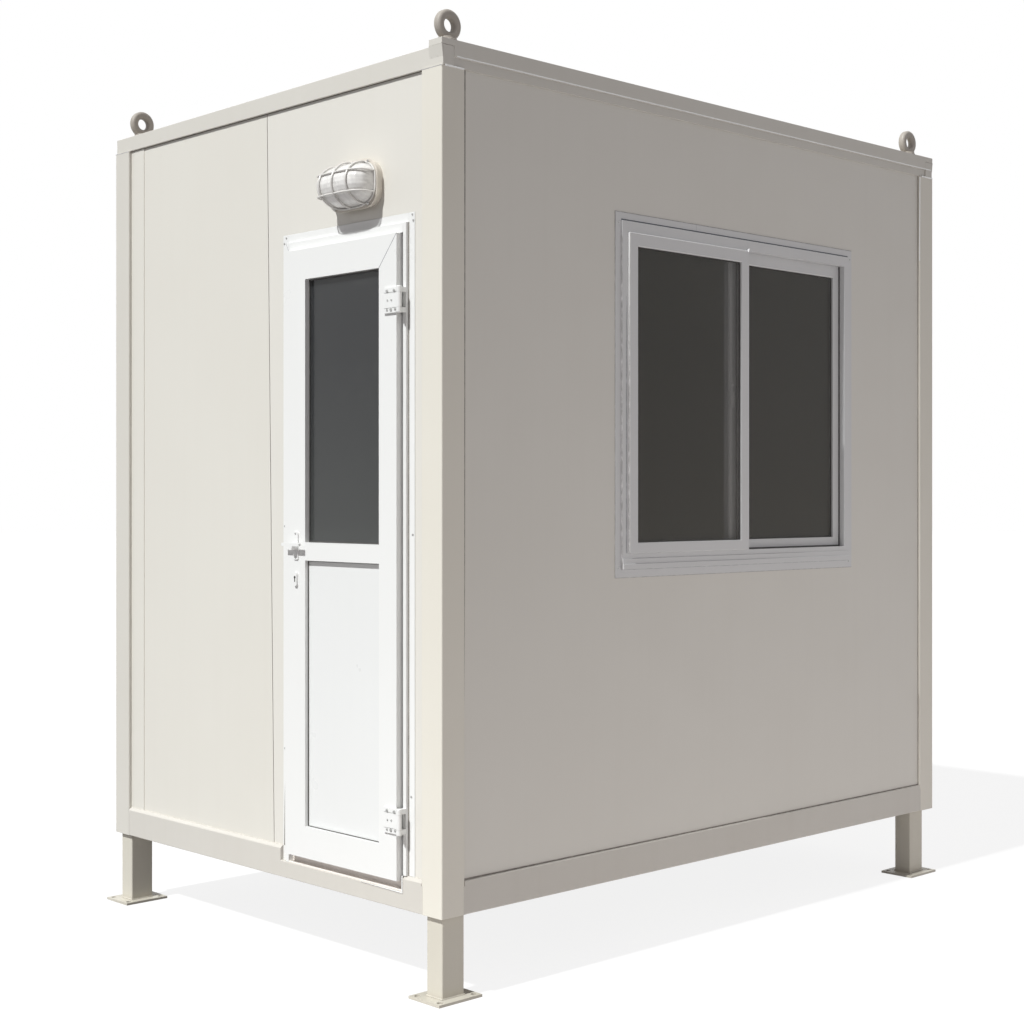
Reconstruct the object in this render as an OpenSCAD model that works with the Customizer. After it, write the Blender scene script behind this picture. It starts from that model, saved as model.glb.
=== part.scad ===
/* [Cabin] */
// Width of the cabin across its door face
cabin_w = 1800; // [1720:10:1900]
// Length of the cabin along its window wall
cabin_l = 2565; // [2450:5:2700]
// Height from the bottom rails to the top of the window-side roof rail
cabin_h = 2550; // [2500:10:2640]
// Side of the square corner posts
post_w = 90; // [80:1:96]
// Height of the bottom rails
base_rail_h = 100; // [90:1:120]
// Depth of the bottom rails
base_rail_d = 74; // [68:1:80]
// Slope on the top edge of the front bottom rail
base_rail_slope = 9; // [4:1:10]
// Thickness of the wall panels
panel_t = 50; // [44:1:54]
// How far the front panels lie behind the faces of the posts
front_recess = 14; // [12:1:18]
// How far the side and back panels lie behind the faces of the posts
side_recess = 9; // [6:1:14]
// Radius of the rounded edges of the posts, rails and legs
tube_r = 4; // [2:1:6]
// Thickness of the floor deck
floor_t = 50; // [35:1:55]

/* [Feet] */
// Height of the cabin above the ground
ground_gap = 245; // [200:5:320]
// Width of a leg, along the door face
leg_w = 68; // [56:1:76]
// Length of a leg, along the window wall
leg_l = 86; // [70:1:96]
// Width of a foot plate
foot_w = 136; // [132:1:160]
// Length of a foot plate
foot_l = 168; // [160:1:190]
// Thickness of a foot plate
foot_t = 8; // [6:1:15]
// Diameter of the anchor holes in the foot plates
anchor_d = 18; // [14:1:20]
// Distance of the anchor holes from the edges of a foot plate
anchor_edge = 18; // [16:1:20]
// How far the cabin reaches past the legs on its left
overhang_left = 20; // [0:1:60]
// How far the cabin reaches past the legs on its right
overhang_right = 14; // [0:1:30]
// How far the cabin reaches past the legs at its front
overhang_front = 14; // [0:1:30]
// How far the cabin reaches past the legs at its back
overhang_back = 52; // [30:1:120]

/* [Roof] */
// Height of the left roof rail, and of the front and back ones at their left end
roof_rail_h = 52; // [46:1:58]
// Height of the front and back roof rails at their right end
risen_rail_h = 61; // [58:1:66]
// Height of the raised roof rail over the window wall
high_rail_h = 80; // [74:1:90]
// Width of the left and right roof rails
roof_rail_w = 58; // [56:1:64]
// Depth of the front and back roof rails
cross_rail_d = 44; // [40:1:50]
// How far the front and back roof rails lie behind the faces of the posts
cross_rail_set = 5; // [3:1:8]
// Height of the raised rail's upper band
rail_band_h = 50; // [40:1:56]
// How far the raised rail's lower band is set back
rail_band_set = 4; // [2:1:6]
// Thickness of the roof panel
roof_t = 40; // [30:1:44]
// Outer diameter of a lifting eye
eye_d = 92; // [86:1:98]
// Diameter of the hole in a lifting eye
eye_hole_d = 39; // [34:1:42]
// Thickness of a lifting eye
eye_t = 27; // [24:1:30]
// Height of the stems that lift the left eyes
eye_stem = 21; // [10:1:30]
// Distance of the front right lifting eye from the front face
eye_front_right = 48; // [40:1:90]
// Distance of the front left lifting eye from the front face
eye_front_left = 92; // [80:1:120]
// Distance of the back lifting eyes from the back face
eye_back = 133; // [90:1:160]

/* [Front wall] */
// Distance of the open seam from the door frame at the top of the wall
seam_to_door = 90; // [70:1:120]
// How much nearer the seam comes to the door frame at the foot of the wall
seam_lean = 39; // [0:1:50]
// Width of the open seam between the front panels
seam_gap = 3; // [2:1:5]
// Width of the cover strip beside the left post
cover_strip_w = 83; // [60:1:100]
// How far the cover strip stands out
cover_strip_t = 2; // [1:0.5:3]

/* [Door] */
// Width of the door frame over its flanges
door_w = 652; // [640:1:690]
// Height of the wall over the door frame
over_door_h = 408; // [380:1:450]
// Height of the door frame's foot above the bottom of the cabin
door_foot = 52; // [40:1:60]
// Distance of the door frame from the corner post
door_side_gap = 44; // [30:1:50]
// Thickness of the door leaf
leaf_t = 40; // [36:1:44]
// How far the door leaf stands out of the wall
leaf_proud = 31; // [27:1:35]
// Width of the leaf's lock stile
lock_stile_w = 106; // [96:1:112]
// Width of the leaf's hinge stile
hinge_stile_w = 82; // [74:1:88]
// Height of the leaf's top rail
leaf_head_h = 96; // [84:1:112]
// Height of the leaf's bottom rail
leaf_foot_h = 99; // [84:1:112]
// Height of the middle rail's underside above the leaf's foot
mid_rail_at = 936; // [880:1:980]
// Height of the middle rail
mid_rail_h = 57; // [50:1:80]
// Length of a hinge
hinge_h = 75; // [70:1:90]
// Diameter of a hinge knuckle
knuckle_d = 16; // [14:1:20]

/* [Handle] */
// Height of the handle's spindle above the leaf's foot
handle_at = 978; // [950:1:1000]
// Distance of the spindle from the free edge of the leaf
handle_in = 61; // [54:1:66]
// Width of a handle plate
plate_w = 24; // [22:1:32]
// Length of a handle plate
plate_l = 88; // [80:1:104]
// Length of the handle bar
bar_l = 92; // [80:1:104]

/* [Window] */
// Distance of the window frame from the front face
window_at = 744; // [690:1:790]
// Length of the window frame over its flanges
window_l = 1285; // [1240:1:1320]
// Height of the wall over the window frame
over_window_h = 337; // [300:1:400]
// Height of the window frame's foot above the bottom of the cabin
window_foot = 963; // [900:1:1040]
// Width of the window flanges
window_flange_w = 26; // [20:1:32]
// Width of the window frame's side bars inside the flanges
window_bar_w = 28; // [22:1:40]
// Height of the window frame's head inside the flange
window_head_h = 36; // [30:1:44]
// Height of the window frame's stepped sill inside the flange
window_sill_h = 51; // [40:1:60]
// Width of the sash stiles
sash_stile_w = 39; // [34:1:46]
// Height of the sashes' top rails
sash_head_h = 43; // [34:1:50]
// Height of the sashes' bottom rails
sash_foot_h = 34; // [28:1:46]
// Width of the two meeting stiles
meeting_w = 42; // [38:1:60]
// Thickness of a sash
sash_t = 20; // [16:1:20]

/* [Lamp] */
// Width of the lamp's housing
lamp_w = 238; // [210:1:260]
// Height of the lamp's housing
lamp_h = 150; // [134:1:160]
// Depth of the lamp's housing
lamp_base_t = 28; // [22:1:40]
// Depth of the lamp's wire guard
guard_depth = 85; // [60:1:96]
// Distance of the lamp's centre from the right face
lamp_at = 396; // [350:1:450]
// Height of the lamp's centre above the door frame
lamp_up = 107; // [98:1:120]

/* [Hidden] */
$fn = 48;

cream = "#e4e0d4";
panel_cream = "#e6e3da";
eye_grey = "#a89f94";
door_white = "#f4f4f2";
window_white = "#e2e3e4";
metal_grey = "#9a9c9a";
deck_grey = "#8d8a84";
glass_dark = [0.22, 0.22, 0.21, 0.6];
glass_clear = [0.85, 0.86, 0.85, 0.5];

// Centres of the legs from the origin, which is on the ground between the four feet
foot_x = (cabin_w - overhang_left - overhang_right - leg_w) / 2;
foot_y = (cabin_l - overhang_front - overhang_back - leg_l) / 2;

// Faces of the cabin
x0 = -foot_x - leg_w / 2 - overhang_left;
x1 = x0 + cabin_w;
y0 = -foot_y - leg_l / 2 - overhang_front;
y1 = y0 + cabin_l;
z0 = ground_gap;
z1 = z0 + cabin_h;
wall_z0 = z0 + base_rail_h;
wall_z1 = z1 - high_rail_h;
low_rail_z1 = wall_z1 + roof_rail_h;
risen_rail_z1 = wall_z1 + risen_rail_h;
cross_rail_in = cross_rail_set + cross_rail_d;

// Outer faces of the front and right wall panels
front_y = y0 + front_recess;
right_x = x1 - side_recess;

// Floor level, just under the top of the threshold
floor_step = 16;
floor_z1 = z0 + door_foot + floor_step;

// Lifting eye
eye_x0 = x0 + roof_rail_w / 2;
eye_x1 = x1 - roof_rail_w / 2;
eye_edge_r = 10;
eye_collar_d = 54;
eye_collar_h = 10;

// Door frame: a thin flange on the wall, then a bar that stands out and runs through the wall
door_flange_w = 28;
door_flange_t = 2;
door_bar_w = 14;
door_head_bar_h = 25;
door_bar_proud = 12;
door_stop_w = 14;
door_stop_gap = 6;
door_gap = 7;
sill_back = front_recess - base_rail_d;
sill_set = 6;
sill_nose_h = 5;
threshold_h = 26;
frame_x1 = x1 - post_w - door_side_gap;
frame_x0 = frame_x1 - door_w;
seam_x = frame_x0 - seam_to_door;
frame_z0 = z0 + door_foot;
frame_z1 = wall_z1 - over_door_h;
bar_x0 = frame_x0 + door_flange_w;
bar_x1 = frame_x1 - door_flange_w;
bar_z1 = frame_z1 - door_flange_w;
gap_x0 = bar_x0 + door_bar_w;
gap_x1 = bar_x1 - door_bar_w;
stop_x0 = gap_x0 + door_stop_w;
stop_x1 = gap_x1 - door_stop_w;
gap_z0 = frame_z0 + threshold_h;
gap_z1 = bar_z1 - door_head_bar_h;

// Door leaf
leaf_x0 = gap_x0 + door_gap;
leaf_x1 = gap_x1 - door_gap;
leaf_z0 = gap_z0 + door_gap;
leaf_z1 = gap_z1 - door_gap;
leaf_back = leaf_proud - leaf_t;
pane_x0 = leaf_x0 + lock_stile_w;
pane_x1 = leaf_x1 - hinge_stile_w;
mid_z0 = leaf_z0 + mid_rail_at;
mid_z1 = mid_z0 + mid_rail_h;
pane_recess = 18;
infill_recess = 14;
door_glass_t = 6;
door_infill_t = 18;

// Door hinges
hinge_x = bar_x1;
hinge_rise = 8;
hinge_proud = leaf_proud + hinge_rise;
hinge_end_h = 15;
hinge_play = 0.5;
hinge_pin_d = 8;
hinge_pin_play = 0.05;
hinge_plate_t = 3;
hinge_wing_t = 6;
hinge_wing_w = 74;
hinge_wing_gap = 16;
hinge_groove = 2;
hinge_foot_gap = 1;
hinge_drop = 236;
hinge_lift = 140;
hinge_upper_z = leaf_z1 - hinge_drop;
hinge_lower_z = leaf_z0 + hinge_lift;

// Handle
handle_x = leaf_x0 + handle_in;
handle_z = leaf_z0 + handle_at;
plate_t = 4;
plate_r = 6;
plate_above = 48;
spindle_d = 12;
spindle_play = 0.05;
spindle_hole_d = 20;
hub_d = 22;
hub_neck_d = 20;
hub_gap = 1;
hub_l = 21;
bar_h = 10;
bar_t = 8;
bar_up = 8;
bar_r = 4;
inner_bar_cut = 22;
spindle_end = 1;
lock_d = 17;
lock_r = 8;
lock_l = 44;
lock_proud = 3;
lock_below = 102;

// Window
win_y0 = y0 + window_at;
win_y1 = win_y0 + window_l;
win_z0 = z0 + window_foot;
win_z1 = wall_z1 - over_window_h;
hole_y0 = win_y0 + window_flange_w;
hole_y1 = win_y1 - window_flange_w;
hole_z0 = win_z0 + window_flange_w;
hole_z1 = win_z1 - window_flange_w;
track_y0 = hole_y0 + window_bar_w;
track_y1 = hole_y1 - window_bar_w;
track_z0 = hole_z0 + window_sill_h;
track_z1 = hole_z1 - window_head_h;
window_flange_t = 3;
window_bar_proud = 9;
sill_steps = 3;
sill_step_out = 3;
outer_sash_proud = 16;
inner_sash_proud = -14;
sash_mid = (track_y0 + track_y1) / 2;
sash_reach = 21;
sash_lap = 77;
outer_sash_y1 = sash_mid + sash_reach;
inner_sash_y0 = outer_sash_y1 - sash_lap;
window_glass_t = 5;
window_glass_set = 9;
latch_h = 54;
latch_w = 22;
latch_t = 6;
latch_in = 4;

// Lamp
lamp_x = x1 - lamp_at;
lamp_z = frame_z1 + lamp_up;
lamp_corner_r = 58;
lamp_lip_set = 7;
lamp_lip_h = 5;
guard_wire_d = 6;
guard_inset = 6;
guard_w = lamp_w / 2 - guard_inset;
guard_h = lamp_h / 2 - guard_inset;
guard_steps = 10;
guard_rim_power = 2.9;
guard_long_power = 4;
guard_cross_power = 2.7;
guard_long_at = 32;
guard_cross_at = 65;
dome_gap = 10;
dome_front_gap = 11;
dome_steps = 6;
dome_lean = 80;

// How far a cut runs past the face that it opens
overcut = 1;

// Box between two corners
module block(a, b) {
    translate(a) cube(b - a);
}

// Box on the front wall: x range, range outward from the panel face, z range
module front_block(x, out, z) {
    block([x[0], front_y - out[1], z[0]], [x[1], front_y - out[0], z[1]]);
}

// Box on the right wall: y range, range outward from the panel face, z range
module right_block(y, out, z) {
    block([right_x + out[0], y[0], z[0]], [right_x + out[1], y[1], z[1]]);
}

// Flat rectangle with round corners, centred
module round_rect(w, h, r) {
    square([w - 2 * r, h], center = true);
    square([w, h - 2 * r], center = true);
    for (sx = [-1, 1], sy = [-1, 1])
        translate([sx * (w / 2 - r), sy * (h / 2 - r)]) circle(r);
}

// Upright tube with rounded edges between two corners
module upright(a, b) {
    size = b - a;
    translate([a[0] + size[0] / 2, a[1] + size[1] / 2, a[2]])
        linear_extrude(size[2]) round_rect(size[0], size[1], tube_r);
}

// Tube along y with rounded edges between two corners
module tube_along_y(a, b) {
    size = b - a;
    translate([a[0] + size[0] / 2, b[1], a[2] + size[2] / 2]) rotate([90, 0, 0])
        linear_extrude(size[1]) round_rect(size[0], size[2], tube_r);
}

// Tube along x with rounded edges between two corners
module tube_along_x(a, b) {
    size = b - a;
    translate([a[0], a[1] + size[1] / 2, a[2] + size[2] / 2]) rotate([90, 0, 90])
        linear_extrude(size[0]) round_rect(size[1], size[2], tube_r);
}

// Leg on its foot plate, with the anchor holes clear of the leg
module leg(sx, sy) {
    hole_x = foot_w / 2 - anchor_edge;
    hole_y = foot_l / 2 - anchor_edge;
    color(cream) translate([sx * foot_x, sy * foot_y, 0]) {
        translate([0, 0, foot_t]) linear_extrude(ground_gap - foot_t) round_rect(leg_w, leg_l, tube_r);
        difference() {
            translate([-foot_w / 2, -foot_l / 2, 0]) cube([foot_w, foot_l, foot_t]);
            for (hx = [-1, 1], hy = [-1, 1])
                translate([hx * hole_x, hy * hole_y, -overcut])
                    cylinder(d = anchor_d, h = foot_t + 2 * overcut);
        }
    }
}

// Corner post from the bottom of the cabin to the underside of the roof rails
module post(right, back) {
    x = right ? x1 - post_w : x0;
    y = back ? y1 - post_w : y0;
    color(cream) upright([x, y, z0], [x + post_w, y + post_w, wall_z1]);
}

// Front bottom rail with a sloped top edge, cut down at the doorway and let in for the left flange
module base_rail_front() {
    low = wall_z0 - base_rail_slope;
    section = [[y0, z0], [y0 + base_rail_d, z0], [y0 + base_rail_d, wall_z0],
        [y0 + base_rail_slope, wall_z0], [y0, low]];
    color(cream) difference() {
        translate([x0 + post_w, 0, 0]) rotate([90, 0, 90])
            linear_extrude(cabin_w - 2 * post_w) polygon(section);
        block([bar_x0, y0 - overcut, frame_z0], [gap_x1, y0 + base_rail_d + overcut, wall_z0 + overcut]);
        block([frame_x0, y0 - overcut, frame_z0], [bar_x0 + overcut, front_y, wall_z0 + overcut]);
    }
}

module base_rail_back() {
    color(cream) tube_along_x([x0 + post_w, y1 - base_rail_d, z0], [x1 - post_w, y1, wall_z0]);
}

module base_rail_side(x) {
    color(cream) tube_along_y([x, y0 + post_w, z0], [x + base_rail_d, y1 - post_w, wall_z0]);
}

// Roof rail across the door face or the back, rising to its right end
module roof_rail_across(y) {
    color(cream) translate([0, y + cross_rail_d, 0]) rotate([90, 0, 0]) linear_extrude(cross_rail_d)
        polygon([[x0, wall_z1], [x1, wall_z1], [x1, risen_rail_z1],
            [x1 - roof_rail_w, risen_rail_z1], [x0, low_rail_z1]]);
}

module roof_rail_left() {
    color(cream) tube_along_y([x0, y0 + cross_rail_in, wall_z1],
        [x0 + roof_rail_w, y1 - cross_rail_in, low_rail_z1]);
}

// Raised rail over the window wall: its lower band set back under a lip, its ends on the cross rails
module roof_rail_right() {
    inner = x1 - roof_rail_w;
    set_back = x1 - rail_band_set;
    band_z = z1 - rail_band_h;
    color(cream) difference() {
        translate([0, y1, 0]) rotate([90, 0, 0]) linear_extrude(cabin_l)
            polygon([[inner, wall_z1], [set_back, wall_z1], [set_back, band_z], [x1, band_z],
                [x1, z1], [inner, z1]]);
        for (y = [y0 - overcut, y1 - cross_rail_in])
            block([inner - overcut, y, wall_z1 - overcut],
                [x1 + overcut, y + cross_rail_in + overcut, risen_rail_z1]);
    }
}

// Lifting eye: a thick ring with rounded edges, standing in a round collar or on a stem
module eye(x, y, z, stem) {
    ring_w = (eye_d - eye_hole_d) / 2;
    color(eye_grey) translate([x, y, z]) {
        cylinder(d = eye_collar_d, h = stem + eye_collar_h);
        translate([0, 0, stem + eye_d / 2]) rotate([0, 90, 0]) rotate_extrude()
            translate([(eye_hole_d + ring_w) / 2, 0]) round_rect(ring_w, eye_t, eye_edge_r);
    }
}

// Deck between the bottom rails, notched around the corner posts
module floor_deck() {
    color(deck_grey) difference() {
        block([x0 + base_rail_d, y0 + base_rail_d, floor_z1 - floor_t],
            [x1 - base_rail_d, y1 - base_rail_d, floor_z1]);
        for (right = [false, true], back = [false, true]) post(right, back);
    }
}

module roof_panel() {
    color(panel_cream) block([x0 + roof_rail_w, y0 + cross_rail_in, wall_z1],
        [x1 - roof_rail_w, y1 - cross_rail_in, wall_z1 + roof_t]);
}

// Front panel between two side lines, each given by its x at the top and at the foot
module front_panel(left, right) {
    front_extrude(0, 0, [-panel_t, 0])
        polygon([[left[0], wall_z1], [left[1], wall_z0], [right[1], wall_z0], [right[0], wall_z1]]);
}

// Panel left of the leaning seam, with a cover strip beside the post
module front_wall_left() {
    x = x0 + post_w;
    seam = seam_x - seam_gap;
    color(panel_cream) {
        front_panel([x, x], [seam, seam + seam_lean]);
        front_block([x, x + cover_strip_w], [0, cover_strip_t], [wall_z0, wall_z1]);
    }
}

module front_wall_middle() {
    color(panel_cream) front_panel([seam_x, seam_x + seam_lean], [bar_x0, bar_x0]);
}

module front_wall_over_door() {
    color(panel_cream) front_block([bar_x0, bar_x1], [-panel_t, 0], [bar_z1, wall_z1]);
}

module front_wall_right() {
    color(panel_cream) front_block([bar_x1, x1 - post_w], [-panel_t, 0], [wall_z0, wall_z1]);
}

module left_wall() {
    x = x0 + side_recess;
    color(panel_cream) block([x, y0 + post_w, wall_z0], [x + panel_t, y1 - post_w, wall_z1]);
}

module back_wall() {
    y = y1 - side_recess;
    color(panel_cream) block([x0 + post_w, y - panel_t, wall_z0], [x1 - post_w, y, wall_z1]);
}

module right_wall() {
    color(panel_cream) difference() {
        right_block([y0 + post_w, y1 - post_w], [-panel_t, 0], [wall_z0, wall_z1]);
        right_block([hole_y0, hole_y1], [-panel_t - overcut, overcut], [hole_z0, hole_z1]);
    }
}

// Side of the door frame from a foot height up: a flange on the wall and a bar through it
module door_jamb(flange, bar, foot) {
    color(door_white) {
        front_block(flange, [0, door_flange_t], [foot, frame_z1]);
        front_block(bar, [-panel_t, door_bar_proud], [foot, bar_z1]);
    }
}

// Left side, down to the cut in the bottom rail
module door_jamb_left() {
    door_jamb([frame_x0, bar_x0], [bar_x0, gap_x0], frame_z0);
}

// Right side, standing on the bottom rail
module door_jamb_right() {
    door_jamb([bar_x1, frame_x1], [gap_x1, bar_x1], wall_z0);
}

module door_head() {
    color(door_white) {
        front_block([bar_x0, bar_x1], [0, door_flange_t], [bar_z1, frame_z1]);
        front_block([gap_x0, gap_x1], [-panel_t, door_bar_proud], [gap_z1, bar_z1]);
    }
}

// Strip behind the leaf, on the inside of the door frame
module door_stop(x, z) {
    color(door_white) front_block(x, [-panel_t, leaf_back - door_stop_gap], z);
}

// Threshold: a step set back under the leaf, with a thin nose along its front
module door_threshold() {
    back = front_y - sill_back;
    nose = front_y - door_bar_proud;
    step = front_y + sill_set;
    nose_z1 = frame_z0 + sill_nose_h;
    color(door_white) translate([gap_x0, 0, 0]) rotate([90, 0, 90]) linear_extrude(gap_x1 - gap_x0)
        polygon([[nose, frame_z0], [back, frame_z0], [back, gap_z0], [step, gap_z0],
            [step, nose_z1], [nose, nose_z1]]);
}

// Leaf frame: two stiles, three rails and the spindle hole
module door_leaf() {
    through = [leaf_back - overcut, leaf_proud + overcut];
    color(door_white) difference() {
        front_block([leaf_x0, leaf_x1], [leaf_back, leaf_proud], [leaf_z0, leaf_z1]);
        front_block([pane_x0, pane_x1], through, [mid_z1, leaf_z1 - leaf_head_h]);
        front_block([pane_x0, pane_x1], through, [leaf_z0 + leaf_foot_h, mid_z0]);
        spindle_hole(spindle_hole_d, through);
    }
}

// Round hole for the spindle between two distances from the panel face
module spindle_hole(d, out) {
    translate([handle_x, front_y - out[0], handle_z]) rotate([90, 0, 0])
        cylinder(d = d, h = out[1] - out[0]);
}

module door_panel() {
    face = leaf_proud - infill_recess;
    color(door_white) front_block([pane_x0, pane_x1], [face - door_infill_t, face],
        [leaf_z0 + leaf_foot_h, mid_z0]);
}

module door_glass() {
    face = leaf_proud - pane_recess;
    color(glass_dark) front_block([pane_x0, pane_x1], [face - door_glass_t, face],
        [mid_z1, leaf_z1 - leaf_head_h]);
}

// Upright cylinder on the hinge axis between two heights
module hinge_turned(d, za, zb) {
    translate([hinge_x, front_y - hinge_proud, za]) cylinder(d = d, h = zb - za);
}

// End knuckles, pin and foot of one hinge, fixed to the door frame
module hinge_frame_half(z) {
    for (za = [z, z + hinge_h - hinge_end_h]) {
        hinge_turned(knuckle_d, za, za + hinge_end_h);
        front_block([gap_x1 + hinge_foot_gap, bar_x1], [door_bar_proud, hinge_proud], [za, za + hinge_end_h]);
    }
    hinge_turned(hinge_pin_d, z, z + hinge_h);
}

module hinge_frame_halves() {
    color(door_white) {
        hinge_frame_half(hinge_upper_z);
        hinge_frame_half(hinge_lower_z);
    }
}

// Middle knuckle and wing of one hinge, fixed to the leaf: a plate with three raised segments
module hinge_leaf_half(z) {
    za = z + hinge_end_h + hinge_play;
    zb = z + hinge_h - hinge_end_h - hinge_play;
    left = hinge_x - hinge_wing_w;
    wing = [left, hinge_x - hinge_wing_gap];
    raised = [leaf_proud, leaf_proud + hinge_wing_t];
    difference() {
        union() {
            hinge_turned(knuckle_d, za, zb);
            front_block([left, hinge_x], raised, [za, zb]);
            front_block(wing, [leaf_proud, leaf_proud + hinge_plate_t], [z, z + hinge_h]);
            front_block(wing, raised, [z, za - hinge_groove]);
            front_block(wing, raised, [zb + hinge_groove, z + hinge_h]);
        }
        hinge_turned(hinge_pin_d + 2 * hinge_pin_play, za - overcut, zb + overcut);
    }
}

module hinge_leaf_halves() {
    color(door_white) {
        hinge_leaf_half(hinge_upper_z);
        hinge_leaf_half(hinge_lower_z);
    }
}

// Solid drawn flat in x and z, then pushed outward between two distances from the panel face
module front_extrude(x, z, out) {
    translate([x, front_y - out[0], z]) rotate([90, 0, 0]) linear_extrude(out[1] - out[0]) children();
}

// Plates on both faces of the leaf, and the lock's oval boss below the outer one
module handle_plates() {
    plate_z = handle_z + plate_above - plate_l / 2;
    lock_face = leaf_proud + plate_t + lock_proud;
    through = [leaf_back - plate_t - overcut, lock_face];
    color(door_white) difference() {
        union() {
            for (face = [leaf_proud, leaf_back - plate_t])
                front_extrude(handle_x, plate_z, [face, face + plate_t])
                    round_rect(plate_w, plate_l, plate_r);
            front_extrude(handle_x, handle_z - lock_below, [leaf_proud, lock_face])
                round_rect(lock_d, lock_l, lock_r);
        }
        spindle_hole(spindle_d + 2 * spindle_play, through);
    }
}

// One side of the lever: a hub that narrows away from the leaf, and a straight bar across it
module lever_side(hub, bar, l, ends) {
    translate([handle_x, front_y - hub[0], handle_z]) rotate([90, 0, 0])
        cylinder(d1 = ends[0], d2 = ends[1], h = hub[1] - hub[0]);
    front_extrude(handle_x, handle_z + bar_up, bar) round_rect(l, bar_h, bar_r);
}

// Lever on both faces, its inside bar short enough to pass the door stop
module handle_lever() {
    outer = leaf_proud + plate_t + hub_gap;
    inner = leaf_back - plate_t - hub_gap;
    outer_end = outer + hub_l;
    inner_end = inner - hub_l;
    color(door_white) {
        lever_side([outer, outer_end], [outer_end - bar_t, outer_end], bar_l, [hub_d, hub_neck_d]);
        lever_side([inner_end, inner], [inner_end, inner_end + bar_t], bar_l - inner_bar_cut,
            [hub_neck_d, hub_d]);
        front_extrude(handle_x, handle_z, [inner - spindle_end, outer + spindle_end]) circle(d = spindle_d);
    }
}

// Window frame: flange on the wall, bars through it and a sill in steps, open in the middle
module window_frame() {
    step_h = window_sill_h / sill_steps;
    color(window_white) difference() {
        union() {
            right_block([win_y0, win_y1], [0, window_flange_t], [win_z0, win_z1]);
            right_block([hole_y0, hole_y1], [-panel_t, window_bar_proud], [hole_z0, hole_z1]);
            for (i = [1 : sill_steps - 1])
                right_block([hole_y0, hole_y1], [0, window_bar_proud + i * sill_step_out],
                    [hole_z0, track_z0 - i * step_h]);
        }
        right_block([track_y0, track_y1], [-panel_t - overcut, window_bar_proud + overcut],
            [track_z0, track_z1]);
    }
}

// Sash: outer size along y, outward face, widths of its first and last stile
module sash(y, face, first_w, last_w) {
    color(window_white) difference() {
        right_block(y, [face - sash_t, face], [track_z0, track_z1]);
        right_block([y[0] + first_w, y[1] - last_w], [face - sash_t - overcut, face + overcut],
            [track_z0 + sash_foot_h, track_z1 - sash_head_h]);
    }
}

// Pane that fills a sash
module sash_glass(y, face, first_w, last_w) {
    out = face - window_glass_set;
    color(glass_dark) right_block([y[0] + first_w, y[1] - last_w], [out - window_glass_t, out],
        [track_z0 + sash_foot_h, track_z1 - sash_head_h]);
}

module window_outer_sash() {
    sash([track_y0, outer_sash_y1], outer_sash_proud, sash_stile_w, meeting_w);
}

module window_outer_glass() {
    sash_glass([track_y0, outer_sash_y1], outer_sash_proud, sash_stile_w, meeting_w);
}

module window_inner_sash() {
    sash([inner_sash_y0, track_y1], inner_sash_proud, meeting_w, sash_stile_w);
}

module window_inner_glass() {
    sash_glass([inner_sash_y0, track_y1], inner_sash_proud, meeting_w, sash_stile_w);
}

// Latch on the outward face of the inner sash's meeting stile
module window_latch() {
    y = inner_sash_y0 + latch_in;
    z = (track_z0 + track_z1) / 2 - latch_h / 2;
    color(metal_grey) right_block([y, y + latch_w], [inner_sash_proud, inner_sash_proud + latch_t],
        [z, z + latch_h]);
}

// Housing: an oval box with a raised lip along its front
module lamp_base() {
    lip = [lamp_base_t - lamp_lip_h, lamp_base_t];
    color(door_white) {
        front_extrude(lamp_x, lamp_z, [0, lip[0]])
            round_rect(lamp_w - 2 * lamp_lip_set, lamp_h - 2 * lamp_lip_set, lamp_corner_r - lamp_lip_set);
        front_extrude(lamp_x, lamp_z, lip) round_rect(lamp_w, lamp_h, lamp_corner_r);
    }
}

// Share of a bulging shape's full size at a share of its reach, for a power that squares it off
function bulge(share, power) = pow(1 - pow(abs(share), power), 1 / power);

// Dome of glass under the guard, in slices that shrink towards its front
module lamp_glass() {
    depth = guard_depth - dome_front_gap;
    w = 2 * (guard_w - dome_gap);
    h = 2 * (guard_h - dome_gap);
    r = lamp_corner_r - guard_inset - dome_gap;
    color(glass_clear) hull() for (i = [0 : dome_steps]) {
        share = sin(dome_lean * i / dome_steps);
        sx = bulge(share, guard_long_power);
        sz = bulge(share, guard_cross_power);
        front_extrude(lamp_x, lamp_z, [lamp_base_t, lamp_base_t + share * depth])
            round_rect(w * sx, h * sz, r * sz, $fn = 32);
    }
}

// Wire through a list of points given as x, outward and z from the lamp's centre
module wire(points) {
    for (i = [0 : len(points) - 2]) hull() {
        for (p = [points[i], points[i + 1]])
            translate([lamp_x + p[0], front_y - lamp_base_t - guard_wire_d / 2 - p[1], lamp_z + p[2]])
                sphere(d = guard_wire_d, $fn = 6);
    }
}

// Half of a bulging hoop: pairs of a reach across and a depth, for their full sizes and a power
function hoop(reach, depth, power) = [for (i = [0 : guard_steps]) let (t = 180 * i / guard_steps)
    [reach * sign(cos(t)) * pow(abs(cos(t)), 2 / power), depth * pow(sin(t), 2 / power)]];

// Guard: a rim on the housing, two hoops along it and three across it
module lamp_guard() {
    depth = guard_depth - guard_wire_d;
    rim = hoop(guard_w, guard_h, guard_rim_power);
    share = guard_long_at / guard_h;
    long_w = guard_w * bulge(share, guard_rim_power);
    long = hoop(long_w, depth * bulge(share, guard_cross_power), guard_long_power);
    color(door_white) {
        for (side = [-1, 1]) {
            wire([for (p = rim) [p[0], 0, side * p[1]]]);
            wire([for (p = long) [p[0], p[1], side * guard_long_at]]);
        }
        for (x = [-guard_cross_at, 0, guard_cross_at]) {
            cross_h = guard_h * bulge(x / guard_w, guard_rim_power);
            cross = hoop(cross_h, depth * bulge(x / guard_w, guard_long_power), guard_cross_power);
            wire([for (p = cross) [x, p[1], p[0]]]);
        }
    }
}

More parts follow.
